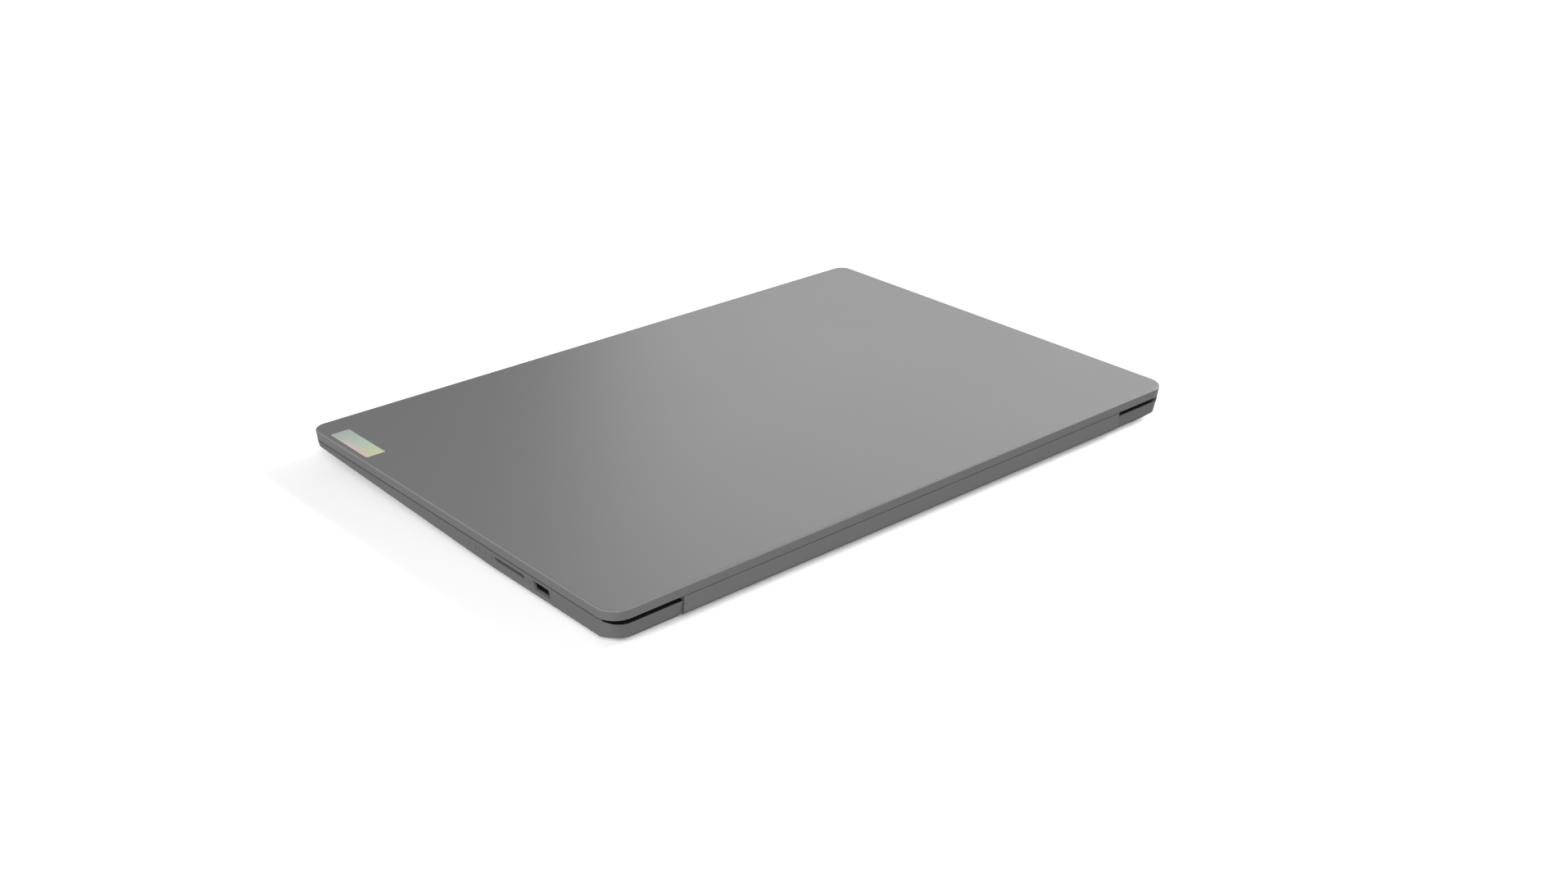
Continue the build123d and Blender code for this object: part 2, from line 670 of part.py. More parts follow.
with BuildPart() as hdmi_socket:
    across, tall = hdmi_size
    mouth = -socket_mouth(port_z - tall / 2)
    with BuildSketch(Plane.YZ.offset(mouth)) as hdmi_outside:
        with Locations((hdmi_y, port_z)):
            RectangleRounded(across, tall, 0.6)
    extrude(amount=13.5)
    with BuildSketch(Plane.YZ.offset(mouth)) as hdmi_mouth:
        with BuildLine():
            Polyline(
                (hdmi_y - 7.0, port_z + 2.3),
                (hdmi_y + 7.0, port_z + 2.3),
                (hdmi_y + 7.0, port_z - 0.4),
                (hdmi_y + 5.3, port_z - 2.2),
                (hdmi_y - 5.3, port_z - 2.2),
                (hdmi_y - 7.0, port_z - 0.4),
                close=True,
            )
        make_face()
    extrude(amount=11, mode=Mode.SUBTRACT)
    slab((mouth + 1.5, mouth + 12), (hdmi_y - 5.6, hdmi_y + 5.6), (port_z - 0.6, port_z + 0.6))
hdmi_socket.part.label = "hdmi_socket"
export_step(hdmi_socket.part, "parts/hdmi_socket.step")

with BuildPart() as usb_c_socket:
    mouth = -socket_mouth(port_z - usb_c_size[1] / 2)
    with BuildSketch(Plane.YZ.offset(mouth)) as usb_c_outside:
        with Locations((usb_c_y, port_z)):
            RectangleRounded(usb_c_size[0], usb_c_size[1], 1.6)
    extrude(amount=9)
    with BuildSketch(Plane.YZ.offset(mouth)) as usb_c_mouth:
        with Locations((usb_c_y, port_z)):
            RectangleRounded(8.4, 2.6, 1.25)
    extrude(amount=7.5, mode=Mode.SUBTRACT)
    slab((mouth + 0.8, mouth + 8), (usb_c_y - 3.3, usb_c_y + 3.3), (port_z - 0.35, port_z + 0.35))
usb_c_socket.part.label = "usb_c_socket"
export_step(usb_c_socket.part, "parts/usb_c_socket.step")

with BuildPart() as audio_jack:
    low, high = audio_z - sleeve_radius - 0.1, audio_z + sleeve_radius + 0.1
    mouth = -socket_mouth(low)
    slab((mouth, mouth + 14.0), (audio_y - audio_half, audio_y + audio_half), (low, high))
    rod_x((mouth - 1.9, mouth + 1), audio_y, audio_z, sleeve_radius)
    rod_x((mouth - 3, mouth + 13), audio_y, audio_z, audio_radius, Mode.SUBTRACT)
audio_jack.part.label = "audio_jack"
export_step(audio_jack.part, "parts/audio_jack.step")

with BuildPart() as power_inlet:
    half_y, half_z = inlet_half
    mouth = -socket_mouth(inlet_z - half_z)
    body_y = (inlet_y - half_y, inlet_y + half_y)
    slab((mouth, mouth + 13), body_y, (inlet_z - half_z, inlet_z + half_z))
    rod_x((mouth - 1, mouth + 11), inlet_y, inlet_z, inlet_radius, Mode.SUBTRACT)
    rod_x((mouth + 1, mouth + 12), inlet_y, inlet_z, inlet_pin_radius)
power_inlet.part.label = "power_inlet"
export_step(power_inlet.part, "parts/power_inlet.step")

# ---- hinges -------------------------------------------------------------------------------------
bracket_rear = 126.6
for side, bracket_name in ((1, "hinge_bracket_right"), (-1, "hinge_bracket_left")):
    with BuildPart() as hinge_bracket:
        barrel = mirrored_span(*knuckle_x, side)
        rod_x(barrel, hinge_y, hinge_z, knuckle_radius)
        slab(barrel, (bracket_rear - 0.1, hinge_y), (9.0, 10.2))
        slab(barrel, (bracket_rear - 1.6, bracket_rear), (9.0, deck_under))
        leaf = mirrored_span(knuckle_x[0], 188, side)
        slab(leaf, (112, bracket_rear), (deck_under - 1.0, deck_under))
        rod_x(barrel, hinge_y, hinge_z, shaft_radius + shaft_clearance, Mode.SUBTRACT)
        with Locations((side * 178, 119, deck_under - 0.5)):
            with GridLocations(12, 8, 2, 2):
                Cylinder(1.0, 2, mode=Mode.SUBTRACT)
    hinge_bracket.part.label = bracket_name
    export_step(hinge_bracket.part, f"parts/{bracket_name}.step")

for side, shaft_name in ((1, "hinge_shaft_right"), (-1, "hinge_shaft_left")):
    with BuildPart() as hinge_shaft:
        rod_x(mirrored_span(boss_x[0] - 1, shaft_cap_x[0] + 0.1, side), hinge_y, hinge_z, shaft_radius)
        rod_x(mirrored_span(*shaft_cap_x, side), hinge_y, hinge_z, shaft_radius + 0.5)
    hinge_shaft.part.label = shaft_name
    export_step(hinge_shaft.part, f"parts/{shaft_name}.step")

arm_boss_radius = 1.6
for side, arm_name in ((1, "hinge_arm_right"), (-1, "hinge_arm_left")):
    with BuildPart() as hinge_arm:
        boss = mirrored_span(*boss_x, side)
        leaf = mirrored_span(arm_root_x, boss_x[1], side)
        rod_x(boss, hinge_y, hinge_z, arm_boss_radius)
        slab(boss, (hinge_y - 1.0, hinge_y + 0.6), (hinge_z, lid_inner_top))
        slab(leaf, (104, hinge_y + 0.6), (lid_inner_top - 1, lid_inner_top))
        rod_x(boss, hinge_y, hinge_z, shaft_radius, Mode.SUBTRACT)
        with Locations((side * 120, 116, lid_inner_top - 0.5)):
            with GridLocations(26, 14, 2, 2):
                Cylinder(1.1, 2, mode=Mode.SUBTRACT)
    hinge_arm.part.label = arm_name
    export_step(hinge_arm.part, f"parts/{arm_name}.step")

# ---- lid ----------------------------------------------------------------------------------------
strip_rear_top = half_depth - lid_inset
strip_rear_low = strip_rear_top - 0.5
strip_round = 2.6
strip_end_wall = 1.2


def strip_profile(x, inset, top):
    """Section of the hinge cover: a deep trough with rounded lower edges."""
    with BuildSketch(Plane.YZ.offset(x)) as section:
        with BuildLine():
            Polyline(
                (strip_front + inset, top),
                (strip_rear_top - inset, top),
                (strip_rear_low - inset, strip_bottom + inset),
                (strip_front + inset, strip_bottom + inset),
                close=True,
            )
        make_face()
        fillet(section.vertices().group_by(Axis.Y)[0], strip_round - inset)
    return section.sketch


with BuildPart() as hinge_cover:
    extrude(strip_profile(-strip_half, 0, strip_top), amount=2 * strip_half)
    inner_half = strip_half - strip_end_wall
    trough = strip_profile(-inner_half, strip_wall, strip_top + 1)
    extrude(trough, amount=2 * inner_half, mode=Mode.SUBTRACT)
    for side in (1, -1):
        end_wall = mirrored_span(strip_half - 1.5, strip_half + 1, side)
        rod_x(end_wall, hinge_y, hinge_z, shaft_radius + 0.15, Mode.SUBTRACT)
hinge_cover.part.label = "hinge_cover"
export_step(hinge_cover.part, "parts/hinge_cover.step")

badge_x = (184.8, 196.3)
badge_y = (-120.5, -82.0)
badge_depth = 0.5
inner_inset = lid_inset + lid_wall
view_x = (-191.2, 191.2)
view_y = (-127.0, 88.3)
camera_y = -131.0
shutter_slot = (-8.0, 8.0)


def badge_plan(z, margin):
    """Outline of the inlaid badge, grown by a margin."""
    with BuildSketch(Plane.XY.offset(z)) as outline:
        with Locations((sum(badge_x) / 2, sum(badge_y) / 2)):
            across = badge_x[1] - badge_x[0] + 2 * margin
            along = badge_y[1] - badge_y[0] + 2 * margin
            RectangleRounded(across, along, 1.0 + margin)
    return outline.sketch


with BuildPart() as lid_cover:
    extrude(plan(height, 0), amount=lid_bottom - height, taper=lid_draft)
    fillet(lid_cover.faces().sort_by(Axis.Z)[-1].edges(), lid_edge_round)
    extrude(plan(lid_bottom, inner_inset), amount=lid_inner_top - lid_bottom, mode=Mode.SUBTRACT)
    extrude(badge_plan(height - badge_depth, 0.08), amount=2, mode=Mode.SUBTRACT)
lid_cover.part.label = "lid_cover"
export_step(lid_cover.part, "parts/lid_cover.step")

with BuildPart() as lid_badge:
    extrude(badge_plan(height - badge_depth, 0), amount=badge_depth - 0.02)
    chamfer(lid_badge.faces().sort_by(Axis.Z)[-1].edges(), 0.12)
lid_badge.part.label = "lid_badge"
export_step(lid_badge.part, "parts/lid_badge.step")

bezel_top = lid_bottom + 1.0
with BuildPart() as screen_bezel:
    extrude(plan(lid_bottom, inner_inset + 0.1), amount=bezel_top - lid_bottom)
    through = (lid_bottom - 1, bezel_top + 1)
    slab(view_x, view_y, through, Mode.SUBTRACT)
    slab((-strip_half, strip_half), (strip_front + 0.8, half_depth), through, Mode.SUBTRACT)
    slot_y = (camera_y - 1.8, camera_y + 1.8)
    slab(shutter_slot, slot_y, (lid_bottom - 1, lid_bottom + 0.5), Mode.SUBTRACT)
    rod_z(0, camera_y, (lid_bottom, bezel_top + 1), 1.9, Mode.SUBTRACT)
screen_bezel.part.label = "screen_bezel"
export_step(screen_bezel.part, "parts/screen_bezel.step")

panel_rear = 97.0
panel_board_rear = 99.5
with BuildPart() as display_panel:
    slab((-194, 194), (-128.6, panel_rear), (bezel_top + 0.05, lid_inner_top - 0.1))
    slab((-120, 120), (panel_rear, panel_board_rear), (lid_inner_top - 1.6, lid_inner_top - 0.4))
display_panel.part.label = "display_panel"
export_step(display_panel.part, "parts/display_panel.step")

with BuildPart() as camera_shutter:
    slab((3.0, 7.8), (camera_y - 1.6, camera_y + 1.6), (lid_bottom + 0.1, lid_bottom + 0.45))
    slab((4.9, 5.9), (camera_y - 1.0, camera_y + 1.0), (lid_bottom - 0.15, lid_bottom + 0.1))
camera_shutter.part.label = "camera_shutter"
export_step(camera_shutter.part, "parts/camera_shutter.step")

with BuildPart() as camera_lens:
    rod_z(0, camera_y, (lid_bottom + 0.7, bezel_top + 0.4), 1.8)
camera_lens.part.label = "camera_lens"
export_step(camera_lens.part, "parts/camera_lens.step")

camera_board_y = (camera_y - 2.2, camera_y + 2.0)
with BuildPart() as camera_board:
    slab((-28, 28), camera_board_y, (bezel_top + 0.4, bezel_top + 1.2))
    slab((-3.2, 3.2), camera_board_y, (bezel_top + 1.2, bezel_top + 2.6))
camera_board.part.label = "camera_board"
export_step(camera_board.part, "parts/camera_board.step")

with BuildPart() as antennas:
    for side in (1, -1):
        slab(mirrored_span(60, 105, side), (-134, -129.2), (lid_inner_top - 0.6, lid_inner_top))
antennas.part.label = "antennas"
export_step(antennas.part, "parts/antennas.step")

bumper_radius = 1.6
bumper_places = [(x, -132.0) for x in (-150, -50, 50, 150)] + [(x, 20.0) for x in (-194, 194)]
with BuildPart() as bezel_bumpers:
    for x, y in bumper_places:
        rod_z(x, y, (deck_top + 0.1, lid_bottom), bumper_radius)
bezel_bumpers.part.label = "bezel_bumpers"
export_step(bezel_bumpers.part, "parts/bezel_bumpers.step")

cable_x = (-72.0, -60.0)
cable_turn_y = 131.0
cable_thick = 0.2
cable_top = lid_inner_top - 0.1
with BuildPart() as display_cable:
    slab(cable_x, (panel_board_rear, cable_turn_y), (cable_top - cable_thick, cable_top))
    slab(cable_x, (cable_turn_y - cable_thick, cable_turn_y), (7.0, cable_top))
display_cable.part.label = "display_cable"
export_step(display_cable.part, "parts/display_cable.step")
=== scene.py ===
import bpy
import bmesh
import json
import math
from mathutils import Matrix, Vector
from mathutils.bvhtree import BVHTree


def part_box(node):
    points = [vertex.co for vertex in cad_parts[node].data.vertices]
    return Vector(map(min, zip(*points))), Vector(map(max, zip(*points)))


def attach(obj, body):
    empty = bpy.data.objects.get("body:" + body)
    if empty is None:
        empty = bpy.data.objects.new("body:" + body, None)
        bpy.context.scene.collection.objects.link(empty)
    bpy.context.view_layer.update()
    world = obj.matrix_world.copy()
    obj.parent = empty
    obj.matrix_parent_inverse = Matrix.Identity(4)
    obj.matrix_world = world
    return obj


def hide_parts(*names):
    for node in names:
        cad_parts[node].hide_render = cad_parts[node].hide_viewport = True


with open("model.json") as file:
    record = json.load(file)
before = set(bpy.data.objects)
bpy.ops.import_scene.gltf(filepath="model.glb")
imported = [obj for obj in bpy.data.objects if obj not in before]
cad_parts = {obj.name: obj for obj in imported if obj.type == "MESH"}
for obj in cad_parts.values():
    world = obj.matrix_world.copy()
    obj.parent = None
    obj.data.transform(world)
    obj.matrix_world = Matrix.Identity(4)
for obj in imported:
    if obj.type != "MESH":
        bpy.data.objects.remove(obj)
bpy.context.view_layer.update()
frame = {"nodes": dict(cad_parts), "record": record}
nodes = frame["nodes"]
mm = 0.001


# small helpers for node trees

def putNode(tree, kind, place, settings=None, values=None):
    node = tree.nodes.new(kind)
    node.location = place
    for key, value in (settings or {}).items():
        setattr(node, key, value)
    for key, value in (values or {}).items():
        node.inputs[key].default_value = value
    return node


def newGroup(name, inputs, outputs):
    group = bpy.data.node_groups.new(name, "ShaderNodeTree")
    for label, kind, start in inputs:
        socket = group.interface.new_socket(name=label, in_out="INPUT", socket_type=kind)
        socket.default_value = start
    for label, kind in outputs:
        group.interface.new_socket(name=label, in_out="OUTPUT", socket_type=kind)
    inside = group.nodes.new("NodeGroupInput")
    inside.location = (-900, 0)
    outside = group.nodes.new("NodeGroupOutput")
    outside.location = (600, 0)
    return group, inside, outside


def useGroup(tree, group, place, values=None):
    node = tree.nodes.new("ShaderNodeGroup")
    node.node_tree = group
    node.location = place
    for key, value in (values or {}).items():
        node.inputs[key].default_value = value
    return node


def newMaterial(name, shaderValues):
    material = bpy.data.materials.new(name)
    material.use_nodes = True
    tree = material.node_tree
    shader = tree.nodes["Principled BSDF"]
    shader.location = (400, 0)
    tree.nodes["Material Output"].location = (700, 0)
    for key, value in shaderValues.items():
        shader.inputs[key].default_value = value
    return material, tree, shader


def bumpInto(tree, shader, height, strength, distance):
    bump = putNode(tree, "ShaderNodeBump", (150, -300), values={"Strength": strength, "Distance": distance})
    tree.links.new(height, bump.inputs["Height"])
    tree.links.new(bump.outputs["Normal"], shader.inputs["Normal"])


# shared effects

# mottles a colour: broad tone drift plus a fine grain, and puts out the grain as height
def makePaintGrain():
    group, inside, outside = newGroup(
        "paintGrain",
        [("Color", "NodeSocketColor", (0.3, 0.3, 0.3, 1)), ("Grain Scale", "NodeSocketFloat", 3000.0),
         ("Grain Amount", "NodeSocketFloat", 0.06), ("Drift Amount", "NodeSocketFloat", 0.05),
         ("Roughness", "NodeSocketFloat", 0.5), ("Roughness Spread", "NodeSocketFloat", 0.06)],
        [("Color", "NodeSocketColor"), ("Roughness", "NodeSocketFloat"), ("Height", "NodeSocketFloat")],
    )
    coords = putNode(group, "ShaderNodeTexCoord", (-900, -300))
    grain = putNode(group, "ShaderNodeTexNoise", (-650, -200), values={"Detail": 3.0, "Roughness": 0.6})
    drift = putNode(group, "ShaderNodeTexNoise", (-650, -450), values={"Scale": 14.0, "Detail": 4.0})
    group.links.new(coords.outputs["Object"], grain.inputs["Vector"])
    group.links.new(coords.outputs["Object"], drift.inputs["Vector"])
    group.links.new(inside.outputs["Grain Scale"], grain.inputs["Scale"])
    grainShift = centredValue(group, grain.outputs["Fac"], inside.outputs["Grain Amount"], (-400, -150))
    driftShift = centredValue(group, drift.outputs["Fac"], inside.outputs["Drift Amount"], (-400, -450))
    total = putNode(group, "ShaderNodeMath", (0, -250), {"operation": "ADD"})
    group.links.new(grainShift, total.inputs[0])
    group.links.new(driftShift, total.inputs[1])
    factor = putNode(group, "ShaderNodeMath", (150, -250), {"operation": "ADD"}, {1: 1.0})
    group.links.new(total.outputs[0], factor.inputs[0])
    tinted = putNode(group, "ShaderNodeVectorMath", (320, 0), {"operation": "SCALE"})
    group.links.new(inside.outputs["Color"], tinted.inputs[0])
    group.links.new(factor.outputs[0], tinted.inputs["Scale"])
    group.links.new(tinted.outputs[0], outside.inputs["Color"])
    spread = centredValue(group, drift.outputs["Fac"], inside.outputs["Roughness Spread"], (-400, -700))
    rough = putNode(group, "ShaderNodeMath", (0, -600), {"operation": "ADD", "use_clamp": True})
    group.links.new(inside.outputs["Roughness"], rough.inputs[0])
    group.links.new(spread, rough.inputs[1])
    group.links.new(rough.outputs[0], outside.inputs["Roughness"])
    group.links.new(grain.outputs["Fac"], outside.inputs["Height"])
    return group


# a 0..1 noise value turned into plus or minus amount
def centredValue(tree, value, amount, place):
    shift = putNode(tree, "ShaderNodeMath", place, {"operation": "SUBTRACT"}, {1: 0.5})
    tree.links.new(value, shift.inputs[0])
    scale = putNode(tree, "ShaderNodeMath", (place[0] + 180, place[1]), {"operation": "MULTIPLY"})
    tree.links.new(shift.outputs[0], scale.inputs[0])
    tree.links.new(amount, scale.inputs[1])
    return scale.outputs[0]


# lightens a colour where the surface turns over an edge, broken into patches: a painted edge highlight
def makePaintedEdgeHighlight():
    group, inside, outside = newGroup(
        "paintedEdgeHighlight",
        [("Color", "NodeSocketColor", (0.3, 0.3, 0.3, 1)),
         ("Edge Color", "NodeSocketColor", (0.5, 0.5, 0.5, 1)),
         ("Width", "NodeSocketFloat", 0.0006), ("Amount", "NodeSocketFloat", 0.5)],
        [("Color", "NodeSocketColor")],
    )
    bevel = putNode(group, "ShaderNodeBevel", (-650, 200), {"samples": 4})
    group.links.new(inside.outputs["Width"], bevel.inputs["Radius"])
    plainNormal = putNode(group, "ShaderNodeNewGeometry", (-650, -50))
    turn = putNode(group, "ShaderNodeVectorMath", (-450, 100), {"operation": "DOT_PRODUCT"})
    group.links.new(bevel.outputs["Normal"], turn.inputs[0])
    group.links.new(plainNormal.outputs["Normal"], turn.inputs[1])
    ramp = putNode(group, "ShaderNodeMapRange", (-250, 100), values={1: 0.999, 2: 0.8, 3: 0.0, 4: 1.0})
    group.links.new(turn.outputs["Value"], ramp.inputs[0])
    coords = putNode(group, "ShaderNodeTexCoord", (-650, -300))
    patches = putNode(group, "ShaderNodeTexNoise", (-450, -300), values={"Scale": 160.0, "Detail": 5.0})
    group.links.new(coords.outputs["Object"], patches.inputs["Vector"])
    broken = putNode(group, "ShaderNodeMath", (-50, 0), {"operation": "MULTIPLY"})
    group.links.new(ramp.outputs[0], broken.inputs[0])
    group.links.new(patches.outputs["Fac"], broken.inputs[1])
    strength = putNode(group, "ShaderNodeMath", (120, 0), {"operation": "MULTIPLY", "use_clamp": True})
    group.links.new(broken.outputs[0], strength.inputs[0])
    group.links.new(inside.outputs["Amount"], strength.inputs[1])
    mix = putNode(group, "ShaderNodeMix", (320, 100), {"data_type": "RGBA"})
    group.links.new(strength.outputs[0], mix.inputs["Factor"])
    group.links.new(inside.outputs["Color"], mix.inputs["A"])
    group.links.new(inside.outputs["Edge Color"], mix.inputs["B"])
    group.links.new(mix.outputs["Result"], outside.inputs["Color"])
    return group


# long fine streaks along one direction, for drawn and rolled metal
def makeBrushedLines():
    group, inside, outside = newGroup(
        "brushedLines",
        [("Color", "NodeSocketColor", (0.6, 0.6, 0.6, 1)), ("Stretch", "NodeSocketVector", (40, 4000, 4000)),
         ("Amount", "NodeSocketFloat", 0.2), ("Roughness", "NodeSocketFloat", 0.3)],
        [("Color", "NodeSocketColor"), ("Roughness", "NodeSocketFloat"), ("Height", "NodeSocketFloat")],
    )
    coords = putNode(group, "ShaderNodeTexCoord", (-900, -300))
    stretched = putNode(group, "ShaderNodeVectorMath", (-700, -200), {"operation": "MULTIPLY"})
    group.links.new(coords.outputs["Object"], stretched.inputs[0])
    group.links.new(inside.outputs["Stretch"], stretched.inputs[1])
    streaks = putNode(group, "ShaderNodeTexNoise", (-500, -200), values={"Scale": 1.0, "Detail": 3.0})
    group.links.new(stretched.outputs[0], streaks.inputs["Vector"])
    shift = centredValue(group, streaks.outputs["Fac"], inside.outputs["Amount"], (-300, -150))
    factor = putNode(group, "ShaderNodeMath", (50, -100), {"operation": "ADD"}, {1: 1.0})
    group.links.new(shift, factor.inputs[0])
    tinted = putNode(group, "ShaderNodeVectorMath", (250, 0), {"operation": "SCALE"})
    group.links.new(inside.outputs["Color"], tinted.inputs[0])
    group.links.new(factor.outputs[0], tinted.inputs["Scale"])
    group.links.new(tinted.outputs[0], outside.inputs["Color"])
    rough = putNode(group, "ShaderNodeMath", (250, -250), {"operation": "ADD", "use_clamp": True})
    group.links.new(inside.outputs["Roughness"], rough.inputs[0])
    group.links.new(shift, rough.inputs[1])
    group.links.new(rough.outputs[0], outside.inputs["Roughness"])
    group.links.new(streaks.outputs["Fac"], outside.inputs["Height"])
    return group


# 1 inside a box between two corners, 0 outside
def makeInsideBox():
    group, inside, outside = newGroup(
        "insideBox",
        [("Low", "NodeSocketVector", (0, 0, 0)), ("High", "NodeSocketVector", (1, 1, 1))],
        [("Mask", "NodeSocketFloat")],
    )
    coords = putNode(group, "ShaderNodeTexCoord", (-900, -300))
    above = putNode(group, "ShaderNodeVectorMath", (-650, 100), {"operation": "SUBTRACT"})
    below = putNode(group, "ShaderNodeVectorMath", (-650, -150), {"operation": "SUBTRACT"})
    group.links.new(coords.outputs["Object"], above.inputs[0])
    group.links.new(inside.outputs["Low"], above.inputs[1])
    group.links.new(inside.outputs["High"], below.inputs[0])
    group.links.new(coords.outputs["Object"], below.inputs[1])
    nearest = putNode(group, "ShaderNodeVectorMath", (-450, 0), {"operation": "MINIMUM"})
    group.links.new(above.outputs[0], nearest.inputs[0])
    group.links.new(below.outputs[0], nearest.inputs[1])
    axes = putNode(group, "ShaderNodeSeparateXYZ", (-250, 0))
    group.links.new(nearest.outputs[0], axes.inputs[0])
    pair = putNode(group, "ShaderNodeMath", (-50, 80), {"operation": "MINIMUM"})
    group.links.new(axes.outputs["X"], pair.inputs[0])
    group.links.new(axes.outputs["Y"], pair.inputs[1])
    least = putNode(group, "ShaderNodeMath", (120, 0), {"operation": "MINIMUM"})
    group.links.new(pair.outputs[0], least.inputs[0])
    group.links.new(axes.outputs["Z"], least.inputs[1])
    within = putNode(group, "ShaderNodeMath", (300, 0), {"operation": "GREATER_THAN"}, {1: 0.0})
    group.links.new(least.outputs[0], within.inputs[0])
    group.links.new(within.outputs[0], outside.inputs["Mask"])
    return group


paintGrain = makePaintGrain()
paintedEdgeHighlight = makePaintedEdgeHighlight()
brushedLines = makeBrushedLines()
insideBox = makeInsideBox()
print("stage: shared effects ready")


# finishes

def grainedFinish(name, look):
    material, tree, shader = newMaterial(name, look.get("shader", {}))
    grain = useGroup(tree, paintGrain, (-500, 0), {
        "Color": (*look["color"], 1), "Grain Scale": look["grainScale"], "Grain Amount": look["grainAmount"],
        "Drift Amount": look["driftAmount"], "Roughness": look["roughness"],
        "Roughness Spread": look["roughnessSpread"]})
    # painted highlight along the edges
    highlightedEdge = useGroup(tree, paintedEdgeHighlight, (-150, 100), {
        "Edge Color": (*look["edgeColor"], 1), "Width": look["edgeWidth"], "Amount": look["edgeAmount"]})
    tree.links.new(grain.outputs["Color"], highlightedEdge.inputs["Color"])
    tree.links.new(highlightedEdge.outputs["Color"], shader.inputs["Base Color"])
    tree.links.new(grain.outputs["Roughness"], shader.inputs["Roughness"])
    bumpInto(tree, shader, grain.outputs["Height"], look["bump"], look["bumpDepth"])
    return material


def metalFinish(name, look):
    material, tree, shader = newMaterial(name, {"Metallic": 1.0, **look.get("shader", {})})
    lines = useGroup(tree, brushedLines, (-400, 0), {
        "Color": (*look["color"], 1), "Stretch": look["stretch"], "Amount": look["amount"],
        "Roughness": look["roughness"]})
    tree.links.new(lines.outputs["Color"], shader.inputs["Base Color"])
    tree.links.new(lines.outputs["Roughness"], shader.inputs["Roughness"])
    bumpInto(tree, shader, lines.outputs["Height"], look["bump"], look["bumpDepth"])
    return material


coverPaint = {
    "color": (0.105, 0.105, 0.107), "grainScale": 5200.0, "grainAmount": 0.10, "driftAmount": 0.03,
    "roughness": 0.33, "roughnessSpread": 0.04, "edgeColor": (0.20, 0.20, 0.205), "edgeWidth": 0.0007,
    "edgeAmount": 0.25, "bump": 0.10, "bumpDepth": 0.00003,
    "shader": {"Metallic": 0.12, "Coat Weight": 0.10, "Coat Roughness": 0.30, "Specular IOR Level": 0.45},
}
basePaint = {
    **coverPaint, "color": (0.095, 0.095, 0.097), "roughness": 0.42,
    "shader": {"Metallic": 0.08, "Specular IOR Level": 0.40},
}
stripPaint = {**basePaint, "color": (0.098, 0.098, 0.100)}
undersidePlastic = {
    "color": (0.075, 0.076, 0.079), "grainScale": 1700.0, "grainAmount": 0.16, "driftAmount": 0.05,
    "roughness": 0.60, "roughnessSpread": 0.08, "edgeColor": (0.2, 0.2, 0.205), "edgeWidth": 0.0006,
    "edgeAmount": 0.5, "bump": 0.35, "bumpDepth": 0.00008,
}
footRubber = {
    "color": (0.022, 0.022, 0.023), "grainScale": 2400.0, "grainAmount": 0.3, "driftAmount": 0.2,
    "roughness": 0.82, "roughnessSpread": 0.12, "edgeColor": (0.06, 0.06, 0.06), "edgeWidth": 0.0005,
    "edgeAmount": 0.6, "bump": 0.4, "bumpDepth": 0.0001,
}
keyPlastic = {
    "color": (0.088, 0.089, 0.093), "grainScale": 3600.0, "grainAmount": 0.12, "driftAmount": 0.06,
    "roughness": 0.52, "roughnessSpread": 0.10, "edgeColor": (0.15, 0.15, 0.155), "edgeWidth": 0.0004,
    "edgeAmount": 0.6, "bump": 0.18, "bumpDepth": 0.00004,
}
padSurface = {
    **coverPaint, "color": (0.090, 0.090, 0.093), "roughness": 0.34, "grainAmount": 0.04, "bump": 0.04,
}
bezelPlastic = {
    "color": (0.016, 0.016, 0.017), "grainScale": 2600.0, "grainAmount": 0.25, "driftAmount": 0.1,
    "roughness": 0.55, "roughnessSpread": 0.08, "edgeColor": (0.05, 0.05, 0.05), "edgeWidth": 0.0004,
    "edgeAmount": 0.5, "bump": 0.3, "bumpDepth": 0.00006,
}
blackPlastic = {**bezelPlastic, "color": (0.012, 0.012, 0.013), "roughness": 0.45, "grainScale": 1500.0}
panelGlass = {
    "color": (0.006, 0.006, 0.007), "grainScale": 9000.0, "grainAmount": 0.3, "driftAmount": 0.2,
    "roughness": 0.22, "roughnessSpread": 0.05, "edgeColor": (0.012, 0.012, 0.014), "edgeWidth": 0.0003,
    "edgeAmount": 0.2, "bump": 0.05, "bumpDepth": 0.00001,
    "shader": {"Coat Weight": 0.3, "Coat Roughness": 0.18},
}
boardMask = {
    "color": (0.008, 0.060, 0.028), "grainScale": 420.0, "grainAmount": 0.5, "driftAmount": 0.3,
    "roughness": 0.38, "roughnessSpread": 0.15, "edgeColor": (0.25, 0.20, 0.08), "edgeWidth": 0.0003,
    "edgeAmount": 0.8, "bump": 0.3, "bumpDepth": 0.0001,
}
legendInk = {
    "color": (0.55, 0.56, 0.58), "grainScale": 2600.0, "grainAmount": 0.12, "driftAmount": 0.06,
    "roughness": 0.55, "roughnessSpread": 0.06, "edgeColor": (0.62, 0.62, 0.64), "edgeWidth": 0.0001,
    "edgeAmount": 0.2, "bump": 0.05, "bumpDepth": 0.00002,
}
wallPrint = {**legendInk, "color": (0.045, 0.045, 0.047), "edgeColor": (0.06, 0.06, 0.06)}
chipBody = {**blackPlastic, "color": (0.02, 0.02, 0.022), "roughness": 0.35}
batteryWrap = {**blackPlastic, "color": (0.018, 0.018, 0.02), "roughness": 0.3, "grainScale": 240.0}
steelPlate = {
    "color": (0.56, 0.56, 0.575), "stretch": (60, 3200, 3200), "amount": 0.22, "roughness": 0.30,
    "bump": 0.15, "bumpDepth": 0.00002,
}
screwSteel = {**steelPlate, "color": (0.16, 0.16, 0.165), "roughness": 0.42}
copperPipe = {**steelPlate, "color": (0.72, 0.36, 0.20), "roughness": 0.26}
finAluminium = {**steelPlate, "color": (0.72, 0.72, 0.73), "stretch": (3000, 80, 3000), "roughness": 0.34}

